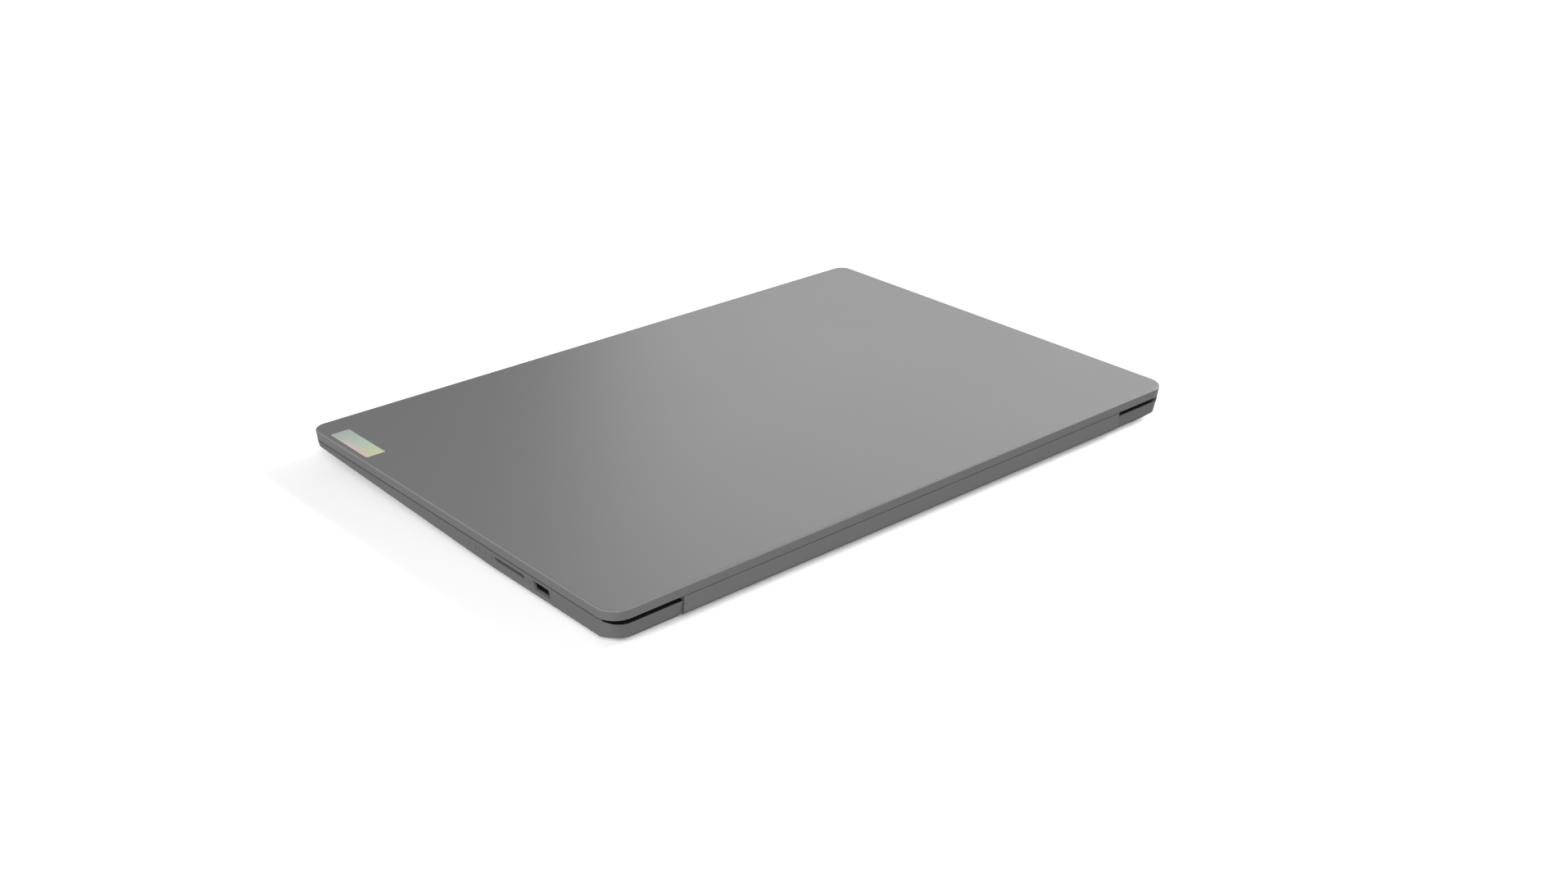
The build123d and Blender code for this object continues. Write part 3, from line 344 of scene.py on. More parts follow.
finishes = {
    "painted_plastic": grainedFinish("coverPaint", coverPaint),
    "base_paint": grainedFinish("basePaint", basePaint),
    "strip_paint": grainedFinish("stripPaint", stripPaint),
    "legend_ink": grainedFinish("legendInk", legendInk),
    "wall_print": grainedFinish("wallPrint", wallPrint),
    "underside_plastic": grainedFinish("undersidePlastic", undersidePlastic),
    "rubber": grainedFinish("footRubber", footRubber),
    "key_plastic": grainedFinish("keyPlastic", keyPlastic),
    "touchpad_surface": grainedFinish("padSurface", padSurface),
    "bezel_plastic": grainedFinish("bezelPlastic", bezelPlastic),
    "black_plastic": grainedFinish("blackPlastic", blackPlastic),
    "screen": grainedFinish("panelGlass", panelGlass),
    "lens_glass": grainedFinish("lensGlass", {**panelGlass, "roughness": 0.08, "color": (0.01, 0.01, 0.03)}),
    "circuit_board": grainedFinish("boardMask", boardMask),
    "chip": grainedFinish("chipBody", chipBody),
    "battery_wrap": grainedFinish("batteryWrap", batteryWrap),
    "steel": metalFinish("steelPlate", steelPlate),
    "copper": metalFinish("copperPipe", copperPipe),
    "screw_steel": metalFinish("screwSteel", screwSteel),
    "aluminium": metalFinish("finAluminium", finAluminium),
}


# pale film whose tint turns from grey-green to yellow-green along it, with a pink outer edge
badgeLook = {
    "tints": ((0.41, 0.45, 0.42, 1), (0.46, 0.56, 0.46, 1), (0.60, 0.61, 0.38, 1)),
    "pink": (0.74, 0.50, 0.51, 1), "pinkEdge": 0.55, "pinkStrength": 0.75, "pinkStart": (0.12, 0.42),
    "stretch": (6000, 90, 6000), "roughness": 0.22, "amount": 0.18, "bump": 0.12, "bumpDepth": 0.00002,
    "shader": {"Metallic": 0.45, "Coat Weight": 0.6, "Coat Roughness": 0.12},
}


def makeBadgeFilm():
    material, tree, shader = newMaterial("badgeFilm", badgeLook["shader"])
    low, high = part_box("lid_badge")
    place = putNode(tree, "ShaderNodeTexCoord", (-1100, 0))
    axes = putNode(tree, "ShaderNodeSeparateXYZ", (-900, 0))
    tree.links.new(place.outputs["Object"], axes.inputs[0])
    along = putNode(tree, "ShaderNodeMapRange", (-700, 100), values={1: low.y, 2: high.y, 3: 0.0, 4: 1.0})
    across = putNode(tree, "ShaderNodeMapRange", (-700, -200), values={1: low.x, 2: high.x, 3: 0.0, 4: 1.0})
    tree.links.new(axes.outputs["Y"], along.inputs[0])
    tree.links.new(axes.outputs["X"], across.inputs[0])
    tints = putNode(tree, "ShaderNodeValToRGB", (-500, 100))
    tints.color_ramp.elements[0].color = badgeLook["tints"][0]
    tints.color_ramp.elements[1].color = badgeLook["tints"][2]
    middle = tints.color_ramp.elements.new(0.5)
    middle.color = badgeLook["tints"][1]
    tree.links.new(along.outputs[0], tints.inputs[0])
    pinkMask = putNode(tree, "ShaderNodeValToRGB", (-500, -200))
    pinkMask.color_ramp.elements[0].position = badgeLook["pinkEdge"]
    pinkMask.color_ramp.elements[0].color = (0, 0, 0, 1)
    pinkMask.color_ramp.elements[1].color = (*[badgeLook["pinkStrength"]] * 3, 1)
    tree.links.new(across.outputs[0], pinkMask.inputs[0])
    start, full = badgeLook["pinkStart"]
    pinkStart = putNode(tree, "ShaderNodeMapRange", (-500, -450), {"interpolation_type": "SMOOTHSTEP"},
                        {1: start, 2: full})
    tree.links.new(along.outputs[0], pinkStart.inputs[0])
    pinkArea = putNode(tree, "ShaderNodeMath", (-300, -250), {"operation": "MULTIPLY"})
    tree.links.new(pinkMask.outputs[0], pinkArea.inputs[0])
    tree.links.new(pinkStart.outputs[0], pinkArea.inputs[1])
    mix = putNode(tree, "ShaderNodeMix", (-150, 50), {"data_type": "RGBA"}, {"B": badgeLook["pink"]})
    tree.links.new(pinkArea.outputs[0], mix.inputs["Factor"])
    tree.links.new(tints.outputs[0], mix.inputs["A"])
    tree.links.new(mix.outputs["Result"], shader.inputs["Base Color"])
    lines = useGroup(tree, brushedLines, (-400, -500), {
        "Stretch": badgeLook["stretch"], "Roughness": badgeLook["roughness"], "Amount": badgeLook["amount"]})
    tree.links.new(lines.outputs["Roughness"], shader.inputs["Roughness"])
    bumpInto(tree, shader, lines.outputs["Height"], badgeLook["bump"], badgeLook["bumpDepth"])
    return material


finishes["badge_film"] = makeBadgeFilm()


diffuserLook = {
    "color": (0.11, 0.115, 0.11, 1), "grainScale": 2000.0, "bump": 0.1, "bumpDepth": 0.00003,
    "shader": {"Roughness": 0.35, "Transmission Weight": 0.15},
}


def makeLampDiffuser():
    material, tree, shader = newMaterial("lampDiffuser", diffuserLook["shader"])
    grain = useGroup(tree, paintGrain, (-400, 0), {
        "Color": diffuserLook["color"], "Grain Scale": diffuserLook["grainScale"]})
    tree.links.new(grain.outputs["Color"], shader.inputs["Base Color"])
    bumpInto(tree, shader, grain.outputs["Height"], diffuserLook["bump"], diffuserLook["bumpDepth"])
    return material


finishes["lamp"] = makeLampDiffuser()
print("stage: finishes ready")


# lays a dark colour over a finish wherever a mask says
def darkenWhere(material, maskSocket, color):
    tree = material.node_tree
    shader = tree.nodes["Principled BSDF"]
    plain = shader.inputs["Base Color"].links[0].from_socket
    mix = putNode(tree, "ShaderNodeMix", (150, 250), {"data_type": "RGBA"}, {"B": (*color, 1)})
    tree.links.new(maskSocket, mix.inputs["Factor"])
    tree.links.new(plain, mix.inputs["A"])
    tree.links.new(mix.outputs["Result"], shader.inputs["Base Color"])


# where the painted shade on the deck's rear slope lies, and its colour
rearSlopeShade = {"ahead": 0.9 * mm, "above": 8.0 * mm, "facingUp": 0.6, "color": (0.004, 0.004, 0.004)}


# the deck's sloping edge behind the hinge line is painted near-black: painted shade in the recess under the
# lid
def paintRearSlopeShade():
    material = finishes["base_paint"]
    tree = material.node_tree
    low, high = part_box("top_cover")
    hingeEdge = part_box("hinge_cover")[0].y - rearSlopeShade["ahead"]
    reach = useGroup(tree, insideBox, (-300, 500), {
        "Low": (low.x, hingeEdge, low.z + rearSlopeShade["above"]), "High": (high.x, high.y, high.z)})
    surface = putNode(tree, "ShaderNodeNewGeometry", (-500, 300))
    axes = putNode(tree, "ShaderNodeSeparateXYZ", (-300, 300))
    tree.links.new(surface.outputs["Normal"], axes.inputs[0])
    facingUp = putNode(tree, "ShaderNodeMath", (-100, 300), {"operation": "GREATER_THAN"},
                       {1: rearSlopeShade["facingUp"]})
    tree.links.new(axes.outputs["Z"], facingUp.inputs[0])
    both = putNode(tree, "ShaderNodeMath", (50, 400), {"operation": "MULTIPLY"})
    tree.links.new(facingUp.outputs[0], both.inputs[0])
    tree.links.new(reach.outputs["Mask"], both.inputs[1])
    darkenWhere(material, both.outputs[0], rearSlopeShade["color"])


# height and colour of the painted shade along the strip's top
stripSeamShade = {"height": 0.35 * mm, "color": (0.035, 0.035, 0.036)}


# a thin band of painted shade along the top of the hinge strip, under the lid's wall
def paintStripSeamShade():
    material = finishes["strip_paint"]
    low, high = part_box("hinge_cover")
    band = useGroup(material.node_tree, insideBox, (-300, 500), {
        "Low": (low.x, low.y, high.z - stripSeamShade["height"]), "High": (high.x, high.y, high.z)})
    darkenWhere(material, band.outputs["Mask"], stripSeamShade["color"])


# upward part of the normal where the flat top ends, where the rim is fully rough and where the wall starts
lidRim = {"flatEnds": 0.995, "fullyRound": 0.93, "wallStarts": 0.25, "roughness": 0.75}


# the rounded rim of the lid scatters light more than its flat top
def calmLidRim():
    material = finishes["painted_plastic"]
    tree = material.node_tree
    shader = tree.nodes["Principled BSDF"]
    plain = shader.inputs["Roughness"].links[0].from_socket
    surface = putNode(tree, "ShaderNodeTexCoord", (-700, -500))
    axes = putNode(tree, "ShaderNodeSeparateXYZ", (-500, -500))
    tree.links.new(surface.outputs["Normal"], axes.inputs[0])
    slope = putNode(tree, "ShaderNodeMapRange", (-300, -500),
                    values={1: lidRim["flatEnds"], 2: lidRim["fullyRound"], 3: 0.0, 4: 1.0})
    tree.links.new(axes.outputs["Z"], slope.inputs[0])
    aboveWall = putNode(tree, "ShaderNodeMath", (-300, -750), {"operation": "GREATER_THAN"},
                        {1: lidRim["wallStarts"]})
    tree.links.new(axes.outputs["Z"], aboveWall.inputs[0])
    rim = putNode(tree, "ShaderNodeMath", (-100, -500), {"operation": "MULTIPLY"})
    tree.links.new(slope.outputs[0], rim.inputs[0])
    tree.links.new(aboveWall.outputs[0], rim.inputs[1])
    mix = putNode(tree, "ShaderNodeMix", (50, -400), {"data_type": "FLOAT"}, {3: lidRim["roughness"]})
    tree.links.new(rim.outputs[0], mix.inputs["Factor"])
    tree.links.new(plain, mix.inputs[2])
    tree.links.new(mix.outputs[0], shader.inputs["Roughness"])


# painted shade in the socket: near-black inside the mouth and a darker steel for the shell
socketShadeAndTongue = {"shell": 0.3 * mm, "color": (0.006, 0.006, 0.007), "steel": (0.36, 0.36, 0.37)}


# steel shell in a darker steel, as painted shade, with the inside of its mouth near-black: the real black
# tongue, plus painted shade in the throat
def makeSocketFinish(node):
    material = metalFinish(node + "_finish", {**steelPlate, "color": socketShadeAndTongue["steel"]})
    tree = material.node_tree
    low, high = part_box(node)
    wall = socketShadeAndTongue["shell"]
    mask = useGroup(tree, insideBox, (-300, 400), {
        "Low": (low.x - mm, low.y + wall, low.z + wall),
        "High": (high.x + mm, high.y - wall, high.z - wall)})
    darkenWhere(material, mask.outputs["Mask"], socketShadeAndTongue["color"])
    shader = tree.nodes["Principled BSDF"]
    lustre = putNode(tree, "ShaderNodeMath", (150, 0), {"operation": "SUBTRACT"}, {0: 1.0})
    tree.links.new(mask.outputs["Mask"], lustre.inputs[1])
    tree.links.new(lustre.outputs[0], shader.inputs["Metallic"])
    return material


# carried-over parts get their finish by slot

slotOf = {row["node"]: row["material_slot"] for row in frame["record"]["subparts"]}


def dressNodes():
    special = {"top_cover": finishes["base_paint"], "hinge_cover": finishes["strip_paint"],
               "usb_socket_right": makeSocketFinish("usb_socket_right"),
               "card_reader": finishes["black_plastic"]}
    for name, part in nodes.items():
        part.data.materials.clear()
        part.data.materials.append(special.get(name, finishes[slotOf[name]]))


paintRearSlopeShade()
paintStripSeamShade()
calmLidRim()
dressNodes()
print("stage: parts dressed")


# mesh helpers

leastRadius = 0.15 * mm
sharpAngle = math.radians(38)


# one rounded-rectangle loop, anticlockwise from above; box is (lowX, lowY, highX, highY)
def roundedLoop(box, inset, corner, z, steps=5):
    lowX, lowY, highX, highY = box
    radius = max(corner - inset, leastRadius)
    reach = inset + radius
    corners = ((highX - reach, highY - reach, 0), (lowX + reach, highY - reach, 90),
               (lowX + reach, lowY + reach, 180), (highX - reach, lowY + reach, 270))
    points = []
    for centreX, centreY, start in corners:
        for step in range(steps + 1):
            angle = math.radians(start + 90 * step / steps)
            points.append((centreX + radius * math.cos(angle), centreY + radius * math.sin(angle), z))
    return points


# one round loop, wavy when it has lobes
def turnedLoop(x, y, radius, z, lobes=0, wave=0.0, steps=36):
    points = []
    for step in range(steps):
        angle = math.tau * step / steps
        reach = radius * (1 + wave * math.cos(lobes * angle))
        points.append((x + reach * math.cos(angle), y + reach * math.sin(angle), z))
    return points


# skins a stack of loops and closes both ends
def skinLoops(shape, loops):
    rings = [[shape.verts.new(point) for point in loop] for loop in loops]
    count = len(rings[0])
    for lower, upper in zip(rings, rings[1:]):
        for i in range(count):
            j = (i + 1) % count
            shape.faces.new((lower[i], lower[j], upper[j], upper[i]))
    shape.faces.new(list(reversed(rings[0])))
    shape.faces.new(rings[-1])


def addPiece(name, shape, finish, body, replaced=()):
    bmesh.ops.recalc_face_normals(shape, faces=shape.faces)
    mesh = bpy.data.meshes.new(name)
    shape.to_mesh(mesh)
    shape.free()
    mesh.shade_smooth()
    mesh.set_sharp_from_angle(angle=sharpAngle)
    mesh.materials.append(finish)
    piece = bpy.data.objects.new(name, mesh)
    bpy.context.scene.collection.objects.link(piece)
    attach(piece, body)
    if replaced:
        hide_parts(*replaced)


# boxes of the separate solids of a node, from the rear row to the front and from left to right
def solidBoxes(name):
    shape = bmesh.new()
    shape.from_mesh(nodes[name].data)
    bmesh.ops.remove_doubles(shape, verts=shape.verts, dist=0.001 * mm)
    boxes = []
    left = set(shape.verts)
    while left:
        island = [left.pop()]
        for vert in island:
            for edge in vert.link_edges:
                other = edge.other_vert(vert)
                if other in left:
                    left.remove(other)
                    island.append(other)
        low = Vector([min(vert.co[axis] for vert in island) for axis in range(3)])
        high = Vector([max(vert.co[axis] for vert in island) for axis in range(3)])
        boxes.append((low, high))
    shape.free()
    return sorted(boxes, key=lambda box: (-round((box[0].y + box[1].y) / mm), box[0].x))


# letters as thin solids; marks are (text, x, y, height of the letters), all at one level
def addLettering(name, marks, level, body, thickness):
    drafts = []
    for text, x, y, size in marks:
        curve = bpy.data.curves.new(name, "FONT")
        curve.body = text
        curve.size = size
        curve.resolution_u = 3
        curve.extrude = thickness / 2
        draft = bpy.data.objects.new(name, curve)
        bpy.context.scene.collection.objects.link(draft)
        draft.location = (x, y, level)
        drafts.append(draft)
    bpy.context.view_layer.update()
    shape = bmesh.new()
    for draft in drafts:
        mesh = bpy.data.meshes.new_from_object(draft)
        mesh.transform(Matrix.Translation(draft.location))
        shape.from_mesh(mesh)
        bpy.data.meshes.remove(mesh)
        curve = draft.data
        bpy.data.objects.remove(draft)
        bpy.data.curves.remove(curve)
    bmesh.ops.remove_doubles(shape, verts=shape.verts, dist=0.0005 * mm)
    addPiece(name, shape, finishes["legend_ink"], body)


# keys: tapered caps with a soft rim and a dished top, and their printed letters

keyCap = {
    # inset from the outline and drop below the top, from the foot of the cap to the middle of its dish
    "profile": [(0.14, 0.32), (0.20, 0.12), (0.34, 0.02), (0.60, 0.0), (1.30, 0.07), (2.60, 0.16),
                (4.20, 0.20)],
    "corner": 1.4, "leastMiddle": 0.4, "letterSize": 4.6, "wordSize": 3.2, "capitalShare": 0.7,
    "upperShare": 0.8, "lowerShare": 0.9, "margin": 2.0, "shallowKey": 12.0, "shallowMargin": 1.2,
    "letterDrop": 0.10, "ink": 0.16, "arrowReach": 1.3,
}

letters = {
    "function_keys": (["esc"] + [f"F{number}" for number in range(1, 13)]
                      + ["ins", "del", "home", "end", "pgup", "pgdn"]),
    "number_keys": list("`1234567890-=") + ["backspace"],
    "upper_letter_keys": ["tab"] + list("QWERTYUIOP[]\\"),
    "home_letter_keys": ["caps"] + list("ASDFGHJKL;'"),
    "enter_key": ["enter"],
    "lower_letter_keys": ["shift"] + list("ZXCVBNM,./") + ["shift"],
    "modifier_keys": ["ctrl", "fn", "", "alt", "alt", "ctrl"],
    "space_bar": [""],
    "number_pad_keys": ["num", "/", "*", "-", "7", "8", "9", "+", "4", "5", "6", "1", "2", "3", "enter",
                        "0", "."],
}
shifted = dict(zip("1234567890", "!@#$%^&*()"))


def addCap(shape, low, high):
    outline = (low.x, low.y, high.x, high.y)
    room = min(high.x - low.x, high.y - low.y) / 2 - keyCap["leastMiddle"] * mm
    loops = [roundedLoop(outline, 0.0, keyCap["corner"] * mm, low.z)]
    for inset, drop in keyCap["profile"]:
        if inset * mm < room:
            loops.append(roundedLoop(outline, inset * mm, keyCap["corner"] * mm, high.z - drop * mm))
    skinLoops(shape, loops)


def keyMarks(words, boxes):
    marks = []
    for word, (low, high) in zip(words, boxes):
        single = len(word) == 1
        size = (keyCap["letterSize"] if single else keyCap["wordSize"]) * mm
        shallow = high.y - low.y < keyCap["shallowKey"] * mm
        topMargin = keyCap["shallowMargin"] if shallow else keyCap["margin"]
        top = high.y - topMargin * mm - size * keyCap["capitalShare"]
        left = low.x + keyCap["margin"] * mm
        if word in shifted:
            marks.append((shifted[word], left, top, size * keyCap["upperShare"]))
            marks.append((word, left, low.y + keyCap["margin"] * mm, size * keyCap["lowerShare"]))
        elif word:
            marks.append((word, left, top, size))
    return marks


# small solid triangles that point up, left, down and right
def addArrows(boxes, level, thickness):
    shape = bmesh.new()
    reach = keyCap["arrowReach"] * mm
    for turn, (low, high) in zip((90, 180, 270, 0), boxes):
        centre = (low + high) / 2
        points = []
        for corner in (0, 130, 230):
            angle = math.radians(turn + corner)
            points.append((centre.x + reach * math.cos(angle), centre.y + reach * math.sin(angle)))
        bottom, top = level - thickness / 2, level + thickness / 2
        skinLoops(shape, [[(x, y, bottom) for x, y in points], [(x, y, top) for x, y in points]])
    addPiece("arrow_keys_marks", shape, finishes["legend_ink"], "arrow_keys")


def addKeyGroup(group):
    boxes = solidBoxes(group)
    shape = bmesh.new()
    for low, high in boxes:
        addCap(shape, low, high)
    addPiece(group + "_caps", shape, finishes["key_plastic"], group, [group])
    level = boxes[0][1].z - keyCap["letterDrop"] * mm
    if group == "arrow_keys":
        addArrows(boxes, level, keyCap["ink"] * mm)
        return
    marks = keyMarks(letters[group], boxes)
    if marks:
        addLettering(group + "_marks", marks, level, group, keyCap["ink"] * mm)


for keyGroup in [*letters, "arrow_keys"]:
    addKeyGroup(keyGroup)
print("stage: keys ready")


# touchpad, power button, feet, bumpers and screws

footSides = [(2.1, 0.10), (1.5, 0.10), (1.2, 0.0), (0.7, 0.0), (0.25, 0.06), (0.0, 0.2), (0.0, 1.0)]
softSlabs = {
    # node: corner radius, then (inset, height as a share of the depth) up the side
    "touchpad": {"corner": 1.6, "sides": [(0.0, 0.0), (0.0, 0.82), (0.10, 0.94), (0.26, 1.0), (2.0, 1.0)],
                 "finish": "touchpad_surface"},
    "power_button": {"corner": 3.0, "finish": "base_paint",
                     "sides": [(0.0, 0.0), (0.0, 0.75), (0.14, 0.92), (0.42, 1.0), (1.3, 0.94)]},
    "rear_foot": {"corner": 3.5, "sides": footSides, "finish": "rubber"},
    "front_feet": {"corner": 3.5, "sides": footSides, "finish": "rubber"},
    "lid_badge": {"corner": 1.0, "sides": [(0.0, 0.0), (0.0, 0.7), (0.08, 0.92), (0.2, 1.0), (0.9, 1.0)],
                  "finish": "badge_film"},
}


def addSoftSlab(node, look, bodyName):
    shape = bmesh.new()
    for low, high in solidBoxes(node):
        outline = (low.x, low.y, high.x, high.y)
        deep = high.z - low.z
        loops = [roundedLoop(outline, inset * mm, look["corner"] * mm, low.z + share * deep, 10)
                 for inset, share in look["sides"]]
        skinLoops(shape, loops)
    addPiece(node + "_surface", shape, finishes[look["finish"]], bodyName, [node])


# in millimetres: loops of the six-lobed socket as (radius, height, wave), of the head as (gap to its rim,
# height), then the shank's and the thread's radii, the pitch and the tip
screwLook = {
    "socket": [(0.62, 0.55, 0.12), (0.85, 0.04, 0.14)],
    "head": [(0.35, 0.0), (0.1, 0.08), (0.0, 0.25), (0.0, 0.8)],
    "headHeight": 0.8, "shank": 0.88, "thread": 1.08, "pitch": 0.5, "tip": 0.6,
}


def addScrews():
    shape = bmesh.new()
    pitch = screwLook["pitch"] * mm
    for low, high in solidBoxes("bottom_screws"):
        x, y = (low.x + high.x) / 2, (low.y + high.y) / 2
        head = (high.x - low.x) / 2
        loops = [turnedLoop(x, y, radius * mm, low.z + up * mm, 6, wave)
                 for radius, up, wave in screwLook["socket"]]
        loops += [turnedLoop(x, y, head - gap * mm, low.z + up * mm) for gap, up in screwLook["head"]]
        z = low.z + screwLook["headHeight"] * mm
        while z + pitch < high.z:
            loops.append(turnedLoop(x, y, screwLook["shank"] * mm, z))
            loops.append(turnedLoop(x, y, screwLook["thread"] * mm, z + pitch / 2))
            z += pitch
        loops.append(turnedLoop(x, y, screwLook["tip"] * mm, high.z))
        skinLoops(shape, loops)
    addPiece("bottom_screws_turned", shape, finishes["screw_steel"], "base", ["bottom_screws"])


# shares of the radius and of the depth
bumperDome = [(0.35, 0.0), (0.7, 0.08), (0.9, 0.3), (1.0, 0.6), (1.0, 1.0)]


def addBumpers():
    shape = bmesh.new()
    for low, high in solidBoxes("bezel_bumpers"):
        x, y = (low.x + high.x) / 2, (low.y + high.y) / 2
        radius, deep = (high.x - low.x) / 2, high.z - low.z
        skinLoops(shape, [turnedLoop(x, y, radius * share, low.z + deep * up) for share, up in bumperDome])
    addPiece("bezel_bumpers_domed", shape, finishes["rubber"], "lid", ["bezel_bumpers"])


# in millimetres, with the gap of the ring in degrees
powerMark = {"outer": 1.35, "inner": 1.05, "gap": 35, "steps": 28, "bar": (0.14, 0.3, 1.5), "sunk": 0.02,
             "ink": 0.08}


# the usual broken ring and bar on the power button
def addPowerMark():
    low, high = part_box("power_button")
    centre = (low + high) / 2
    level = high.z - powerMark["sunk"] * mm
    bottom = level - powerMark["ink"] * mm
    shape = bmesh.new()
    outer, inner = powerMark["outer"] * mm, powerMark["inner"] * mm
    gap, steps = powerMark["gap"], powerMark["steps"]
    angles = [math.radians(90 + gap + (360 - 2 * gap) * step / steps) for step in range(steps + 1)]
    ring = [(centre.x + outer * math.cos(a), centre.y + outer * math.sin(a)) for a in angles]
    ring += [(centre.x + inner * math.cos(a), centre.y + inner * math.sin(a)) for a in reversed(angles)]
    half, foot, head = powerMark["bar"]
    corners = ((-half, foot), (half, foot), (half, head), (-half, head))
    bar = [(centre.x + dx * mm, centre.y + dy * mm) for dx, dy in corners]
    for outline in (ring, bar):
        skinLoops(shape, [[(x, y, bottom) for x, y in outline], [(x, y, level) for x, y in outline]])
    addPiece("power_button_mark", shape, finishes["legend_ink"], "power_button")


slabBodies = {"touchpad": "touchpad", "power_button": "power_button", "lid_badge": "lid"}
for slabName, slabLook in softSlabs.items():
    addSoftSlab(slabName, slabLook, slabBodies.get(slabName, "base"))
addScrews()
addBumpers()
addPowerMark()
print("stage: soft-edged pieces ready")


# right-hand wall: contact pads in the socket and small printed marks

coverTree = BVHTree.FromPolygons([vert.co for vert in nodes["top_cover"].data.vertices],
                                 [tuple(face.vertices) for face in nodes["top_cover"].data.polygons])
wallMarks = {
    # kind, Y and Z of the middle, half length and half height, in millimetres
    "shapes": [("bar", 24.4, 9.2, 1.1, 0.35), ("dot", 24.4, 10.2, 0.35, 0.35),
               ("bar", 28.1, 10.6, 0.9, 0.16), ("bar", 33.2, 10.6, 0.9, 0.16), ("bar", 38.2, 9.4, 0.7, 0.8),
               ("bar", 69.6, 8.9, 1.3, 0.28), ("dot", 71.2, 8.9, 0.5, 0.5)],
    "raise": 0.02, "sunk": 0.05, "dotSteps": 20, "castFrom": 400.0,
}


# a flat printed patch that lies on the drafted wall
def addWallPatch(shape, kind, y, z, halfY, halfZ):
    hit, normal, _, _ = coverTree.ray_cast(Vector((wallMarks["castFrom"] * mm, y, z)), Vector((-1, 0, 0)))
    along = Vector((0, 1, 0))
    up = normal.cross(along)
    if kind == "dot":
        turns = [math.tau * step / wallMarks["dotSteps"] for step in range(wallMarks["dotSteps"])]
        outline = [(math.cos(turn) * halfY, math.sin(turn) * halfZ) for turn in turns]
    else:
        rounded = roundedLoop((-halfY, -halfZ, halfY, halfZ), 0.0, min(halfY, halfZ) * 0.8, 0.0, 3)
        outline = [(a, b) for a, b, _ in rounded]
    inner = [hit + along * a + up * b - normal * wallMarks["sunk"] * mm for a, b in outline]
    outer = [hit + along * a + up * b + normal * wallMarks["raise"] * mm for a, b in outline]
    skinLoops(shape, [inner, outer])


def addWallMarks():
    shape = bmesh.new()
    for kind, y, z, halfY, halfZ in wallMarks["shapes"]:
        addWallPatch(shape, kind, y * mm, z * mm, halfY * mm, halfZ * mm)
    addPiece("side_wall_marks", shape, finishes["wall_print"], "base")


contactPads = {
    # in millimetres; layers are (inset, height above the tongue)
    "tongueHeight": 2.68, "offsets": (-3.5, -1.0, 1.0, 3.5), "halfWidth": 0.5, "depths": (7.5, 2.0),
    "corner": 0.2, "layers": ((0.0, -0.05), (0.0, 0.06), (0.12, 0.1)),
}


def addSocketContacts():
    low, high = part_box("usb_socket_right")
    middle = (low.y + high.y) / 2
    tongueTop = low.z + contactPads["tongueHeight"] * mm
    halfWidth = contactPads["halfWidth"] * mm
    corner = contactPads["corner"] * mm
    deepest, nearest = contactPads["depths"]
    shape = bmesh.new()
    for offset in contactPads["offsets"]:
        y = middle + offset * mm
        outline = (high.x - deepest * mm, y - halfWidth, high.x - nearest * mm, y + halfWidth)
        skinLoops(shape, [roundedLoop(outline, inset * mm, corner, tongueTop + up * mm, 2)
                          for inset, up in contactPads["layers"]])
    addPiece("usb_contacts_right", shape, finishes["copper"], "base")


addWallMarks()
addSocketContacts()
print("stage: wall details ready")


# floor, light and camera

studio = {
    "floorHalf": 6.0, "floorColor": (0.76, 0.76, 0.76, 1), "floorBounce": (0.22, 0.22, 0.22, 1),
    "floorRoughness": 0.9, "paleReach": (0.7, 1.6), "roomLevel": 0.20, "seenRoom": 1.05,
    "lens": 42.35, "sensor": 36.0, "aim": (0, 0, 0),
    "cameraPlace": (0.6148, 0.7221, 0.4358), "cameraTarget": (-0.00943, 0.01786, 0.0),
    # name, place, size and power of each softbox; all of them face the machine
    "lamps": [("farLeftSoftbox", (-1.8, 0.5, 0.9), (0.9, 0.8), 74.0),
              ("backLeftSoftbox", (-1.8, -0.4, 0.9), (1.0, 0.8), 6.2),
              ("backSoftbox", (-1.4, -1.3, 0.9), (1.0, 0.8), 4.3),
              ("sideSoftbox", (1.6, -0.6, 0.6), (1.0, 0.6), 34.0),
              ("cameraSoftbox", (0.9, 1.3, 0.8), (1.0, 0.8), 39.0)],
}


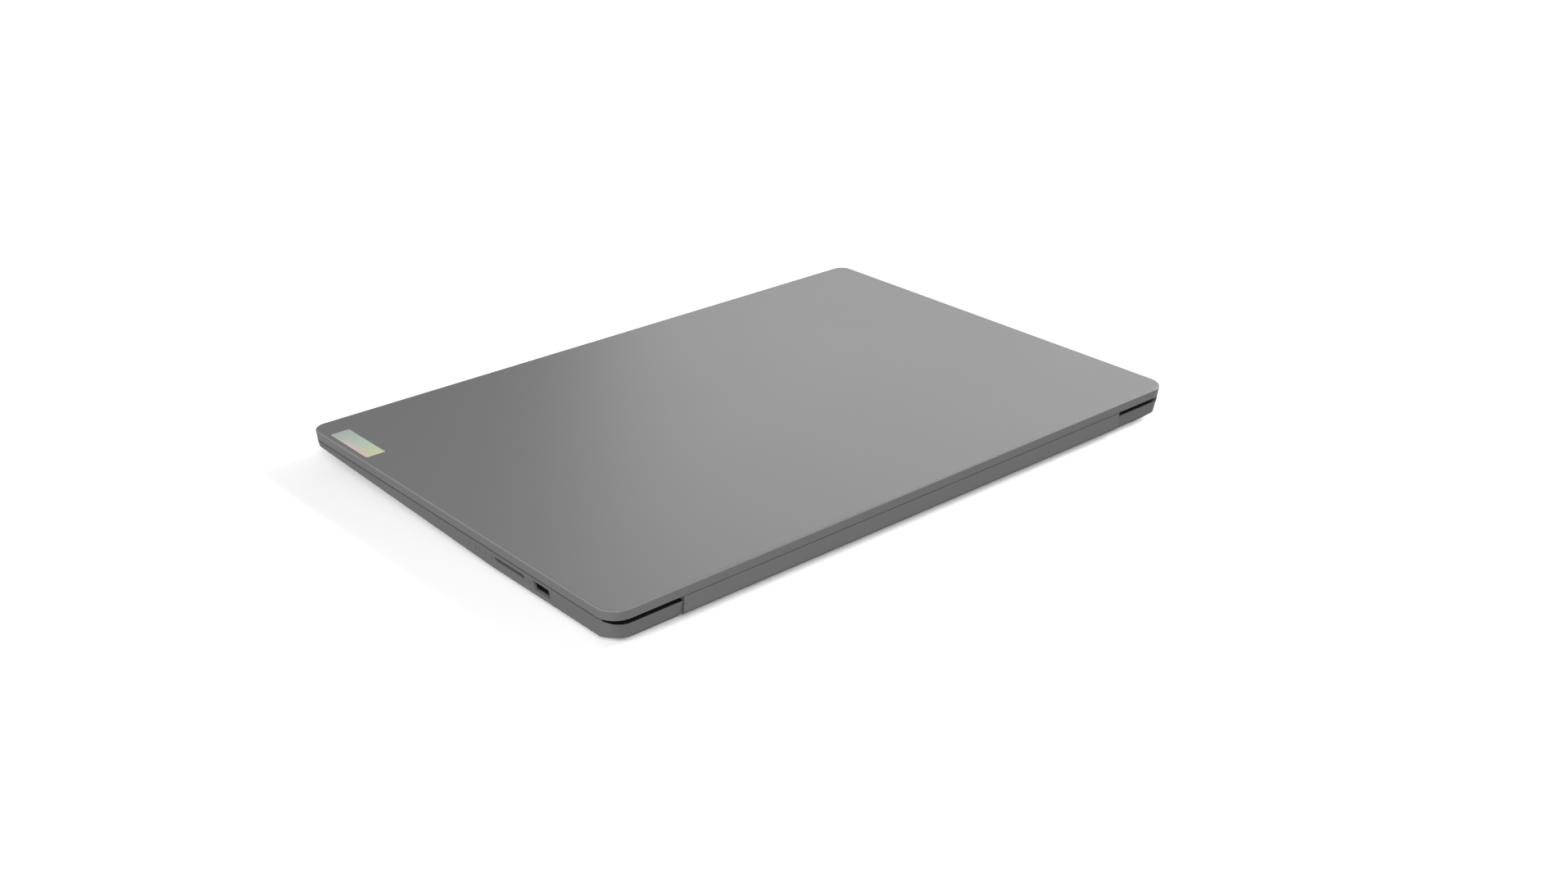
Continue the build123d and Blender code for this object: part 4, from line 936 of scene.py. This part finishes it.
def makeFloor():
    shape = bmesh.new()
    bmesh.ops.create_grid(shape, x_segments=8, y_segments=8, size=studio["floorHalf"])
    mesh = bpy.data.meshes.new("floor")
    shape.to_mesh(mesh)
    shape.free()
    floor = bpy.data.objects.new("floor", mesh)
    bpy.context.scene.collection.objects.link(floor)
    material, tree, shader = newMaterial("paleFloor", {"Specular IOR Level": 0.1, "Emission Strength": 1.0})
    grain = useGroup(tree, paintGrain, (-400, 0), {
        "Color": studio["floorColor"], "Grain Scale": 60.0, "Grain Amount": 0.004, "Drift Amount": 0.002,
        "Roughness": studio["floorRoughness"]})
    eye = putNode(tree, "ShaderNodeLightPath", (-700, 300))
    seen = putNode(tree, "ShaderNodeMix", (-100, 200), {"data_type": "RGBA"}, {"A": studio["floorBounce"]})
    tree.links.new(eye.outputs["Is Camera Ray"], seen.inputs["Factor"])
    tree.links.new(grain.outputs["Color"], seen.inputs["B"])
    tree.links.new(seen.outputs["Result"], shader.inputs["Base Color"])
    # the far floor glows a little to the camera, so that it stays pale
    nearest, farthest = studio["paleReach"]
    spot = putNode(tree, "ShaderNodeTexCoord", (-900, -300))
    reach = putNode(tree, "ShaderNodeVectorMath", (-700, -300), {"operation": "LENGTH"})
    tree.links.new(spot.outputs["Object"], reach.inputs[0])
    far = putNode(tree, "ShaderNodeMapRange", (-500, -300), values={1: nearest, 2: farthest, 3: 0.0, 4: 1.0})
    tree.links.new(reach.outputs["Value"], far.inputs[0])
    farSeen = putNode(tree, "ShaderNodeMath", (-300, -300), {"operation": "MULTIPLY"})
    tree.links.new(far.outputs[0], farSeen.inputs[0])
    tree.links.new(eye.outputs["Is Camera Ray"], farSeen.inputs[1])
    haze = putNode(tree, "ShaderNodeMix", (-100, -200), {"data_type": "RGBA"},
                   {"A": (0, 0, 0, 1), "B": (1, 1, 1, 1)})
    tree.links.new(farSeen.outputs[0], haze.inputs["Factor"])
    tree.links.new(haze.outputs["Result"], shader.inputs["Emission Color"])
    tree.links.new(grain.outputs["Roughness"], shader.inputs["Roughness"])
    mesh.materials.append(material)


def makeLamp(name, place, size, power):
    light = bpy.data.lights.new(name, "AREA")
    light.shape = "RECTANGLE"
    light.size, light.size_y = size
    light.energy = power
    lamp = bpy.data.objects.new(name, light)
    bpy.context.scene.collection.objects.link(lamp)
    lamp.location = place
    lamp.rotation_euler = (Vector(studio["aim"]) - Vector(place)).to_track_quat("-Z", "Y").to_euler()
    lamp.visible_camera = False


def makeStudio():
    world = bpy.data.worlds.new("softRoom")
    bpy.context.scene.world = world
    world.use_nodes = True
    tree = world.node_tree
    background = tree.nodes["Background"]
    eye = putNode(tree, "ShaderNodeLightPath", (-700, 300))
    level = putNode(tree, "ShaderNodeMix", (-400, 100), {"data_type": "FLOAT"},
                    {2: studio["roomLevel"], 3: studio["seenRoom"]})
    tree.links.new(eye.outputs["Is Camera Ray"], level.inputs["Factor"])
    tree.links.new(level.outputs[0], background.inputs["Strength"])
    background.inputs["Color"].default_value = (1, 1, 1, 1)
    for name, place, size, power in studio["lamps"]:
        makeLamp(name, place, size, power)


def makeCamera():
    data = bpy.data.cameras.new("viewCamera")
    data.lens = studio["lens"]
    data.sensor_width = studio["sensor"]
    data.clip_start = 0.01
    camera = bpy.data.objects.new("viewCamera", data)
    bpy.context.scene.collection.objects.link(camera)
    camera.location = studio["cameraPlace"]
    aim = Vector(studio["cameraTarget"]) - camera.location
    camera.rotation_euler = aim.to_track_quat("-Z", "Y").to_euler()
    bpy.context.scene.camera = camera
    bpy.context.scene.view_settings.view_transform = "Standard"


makeFloor()
makeStudio()
makeCamera()
print("stage: studio ready")
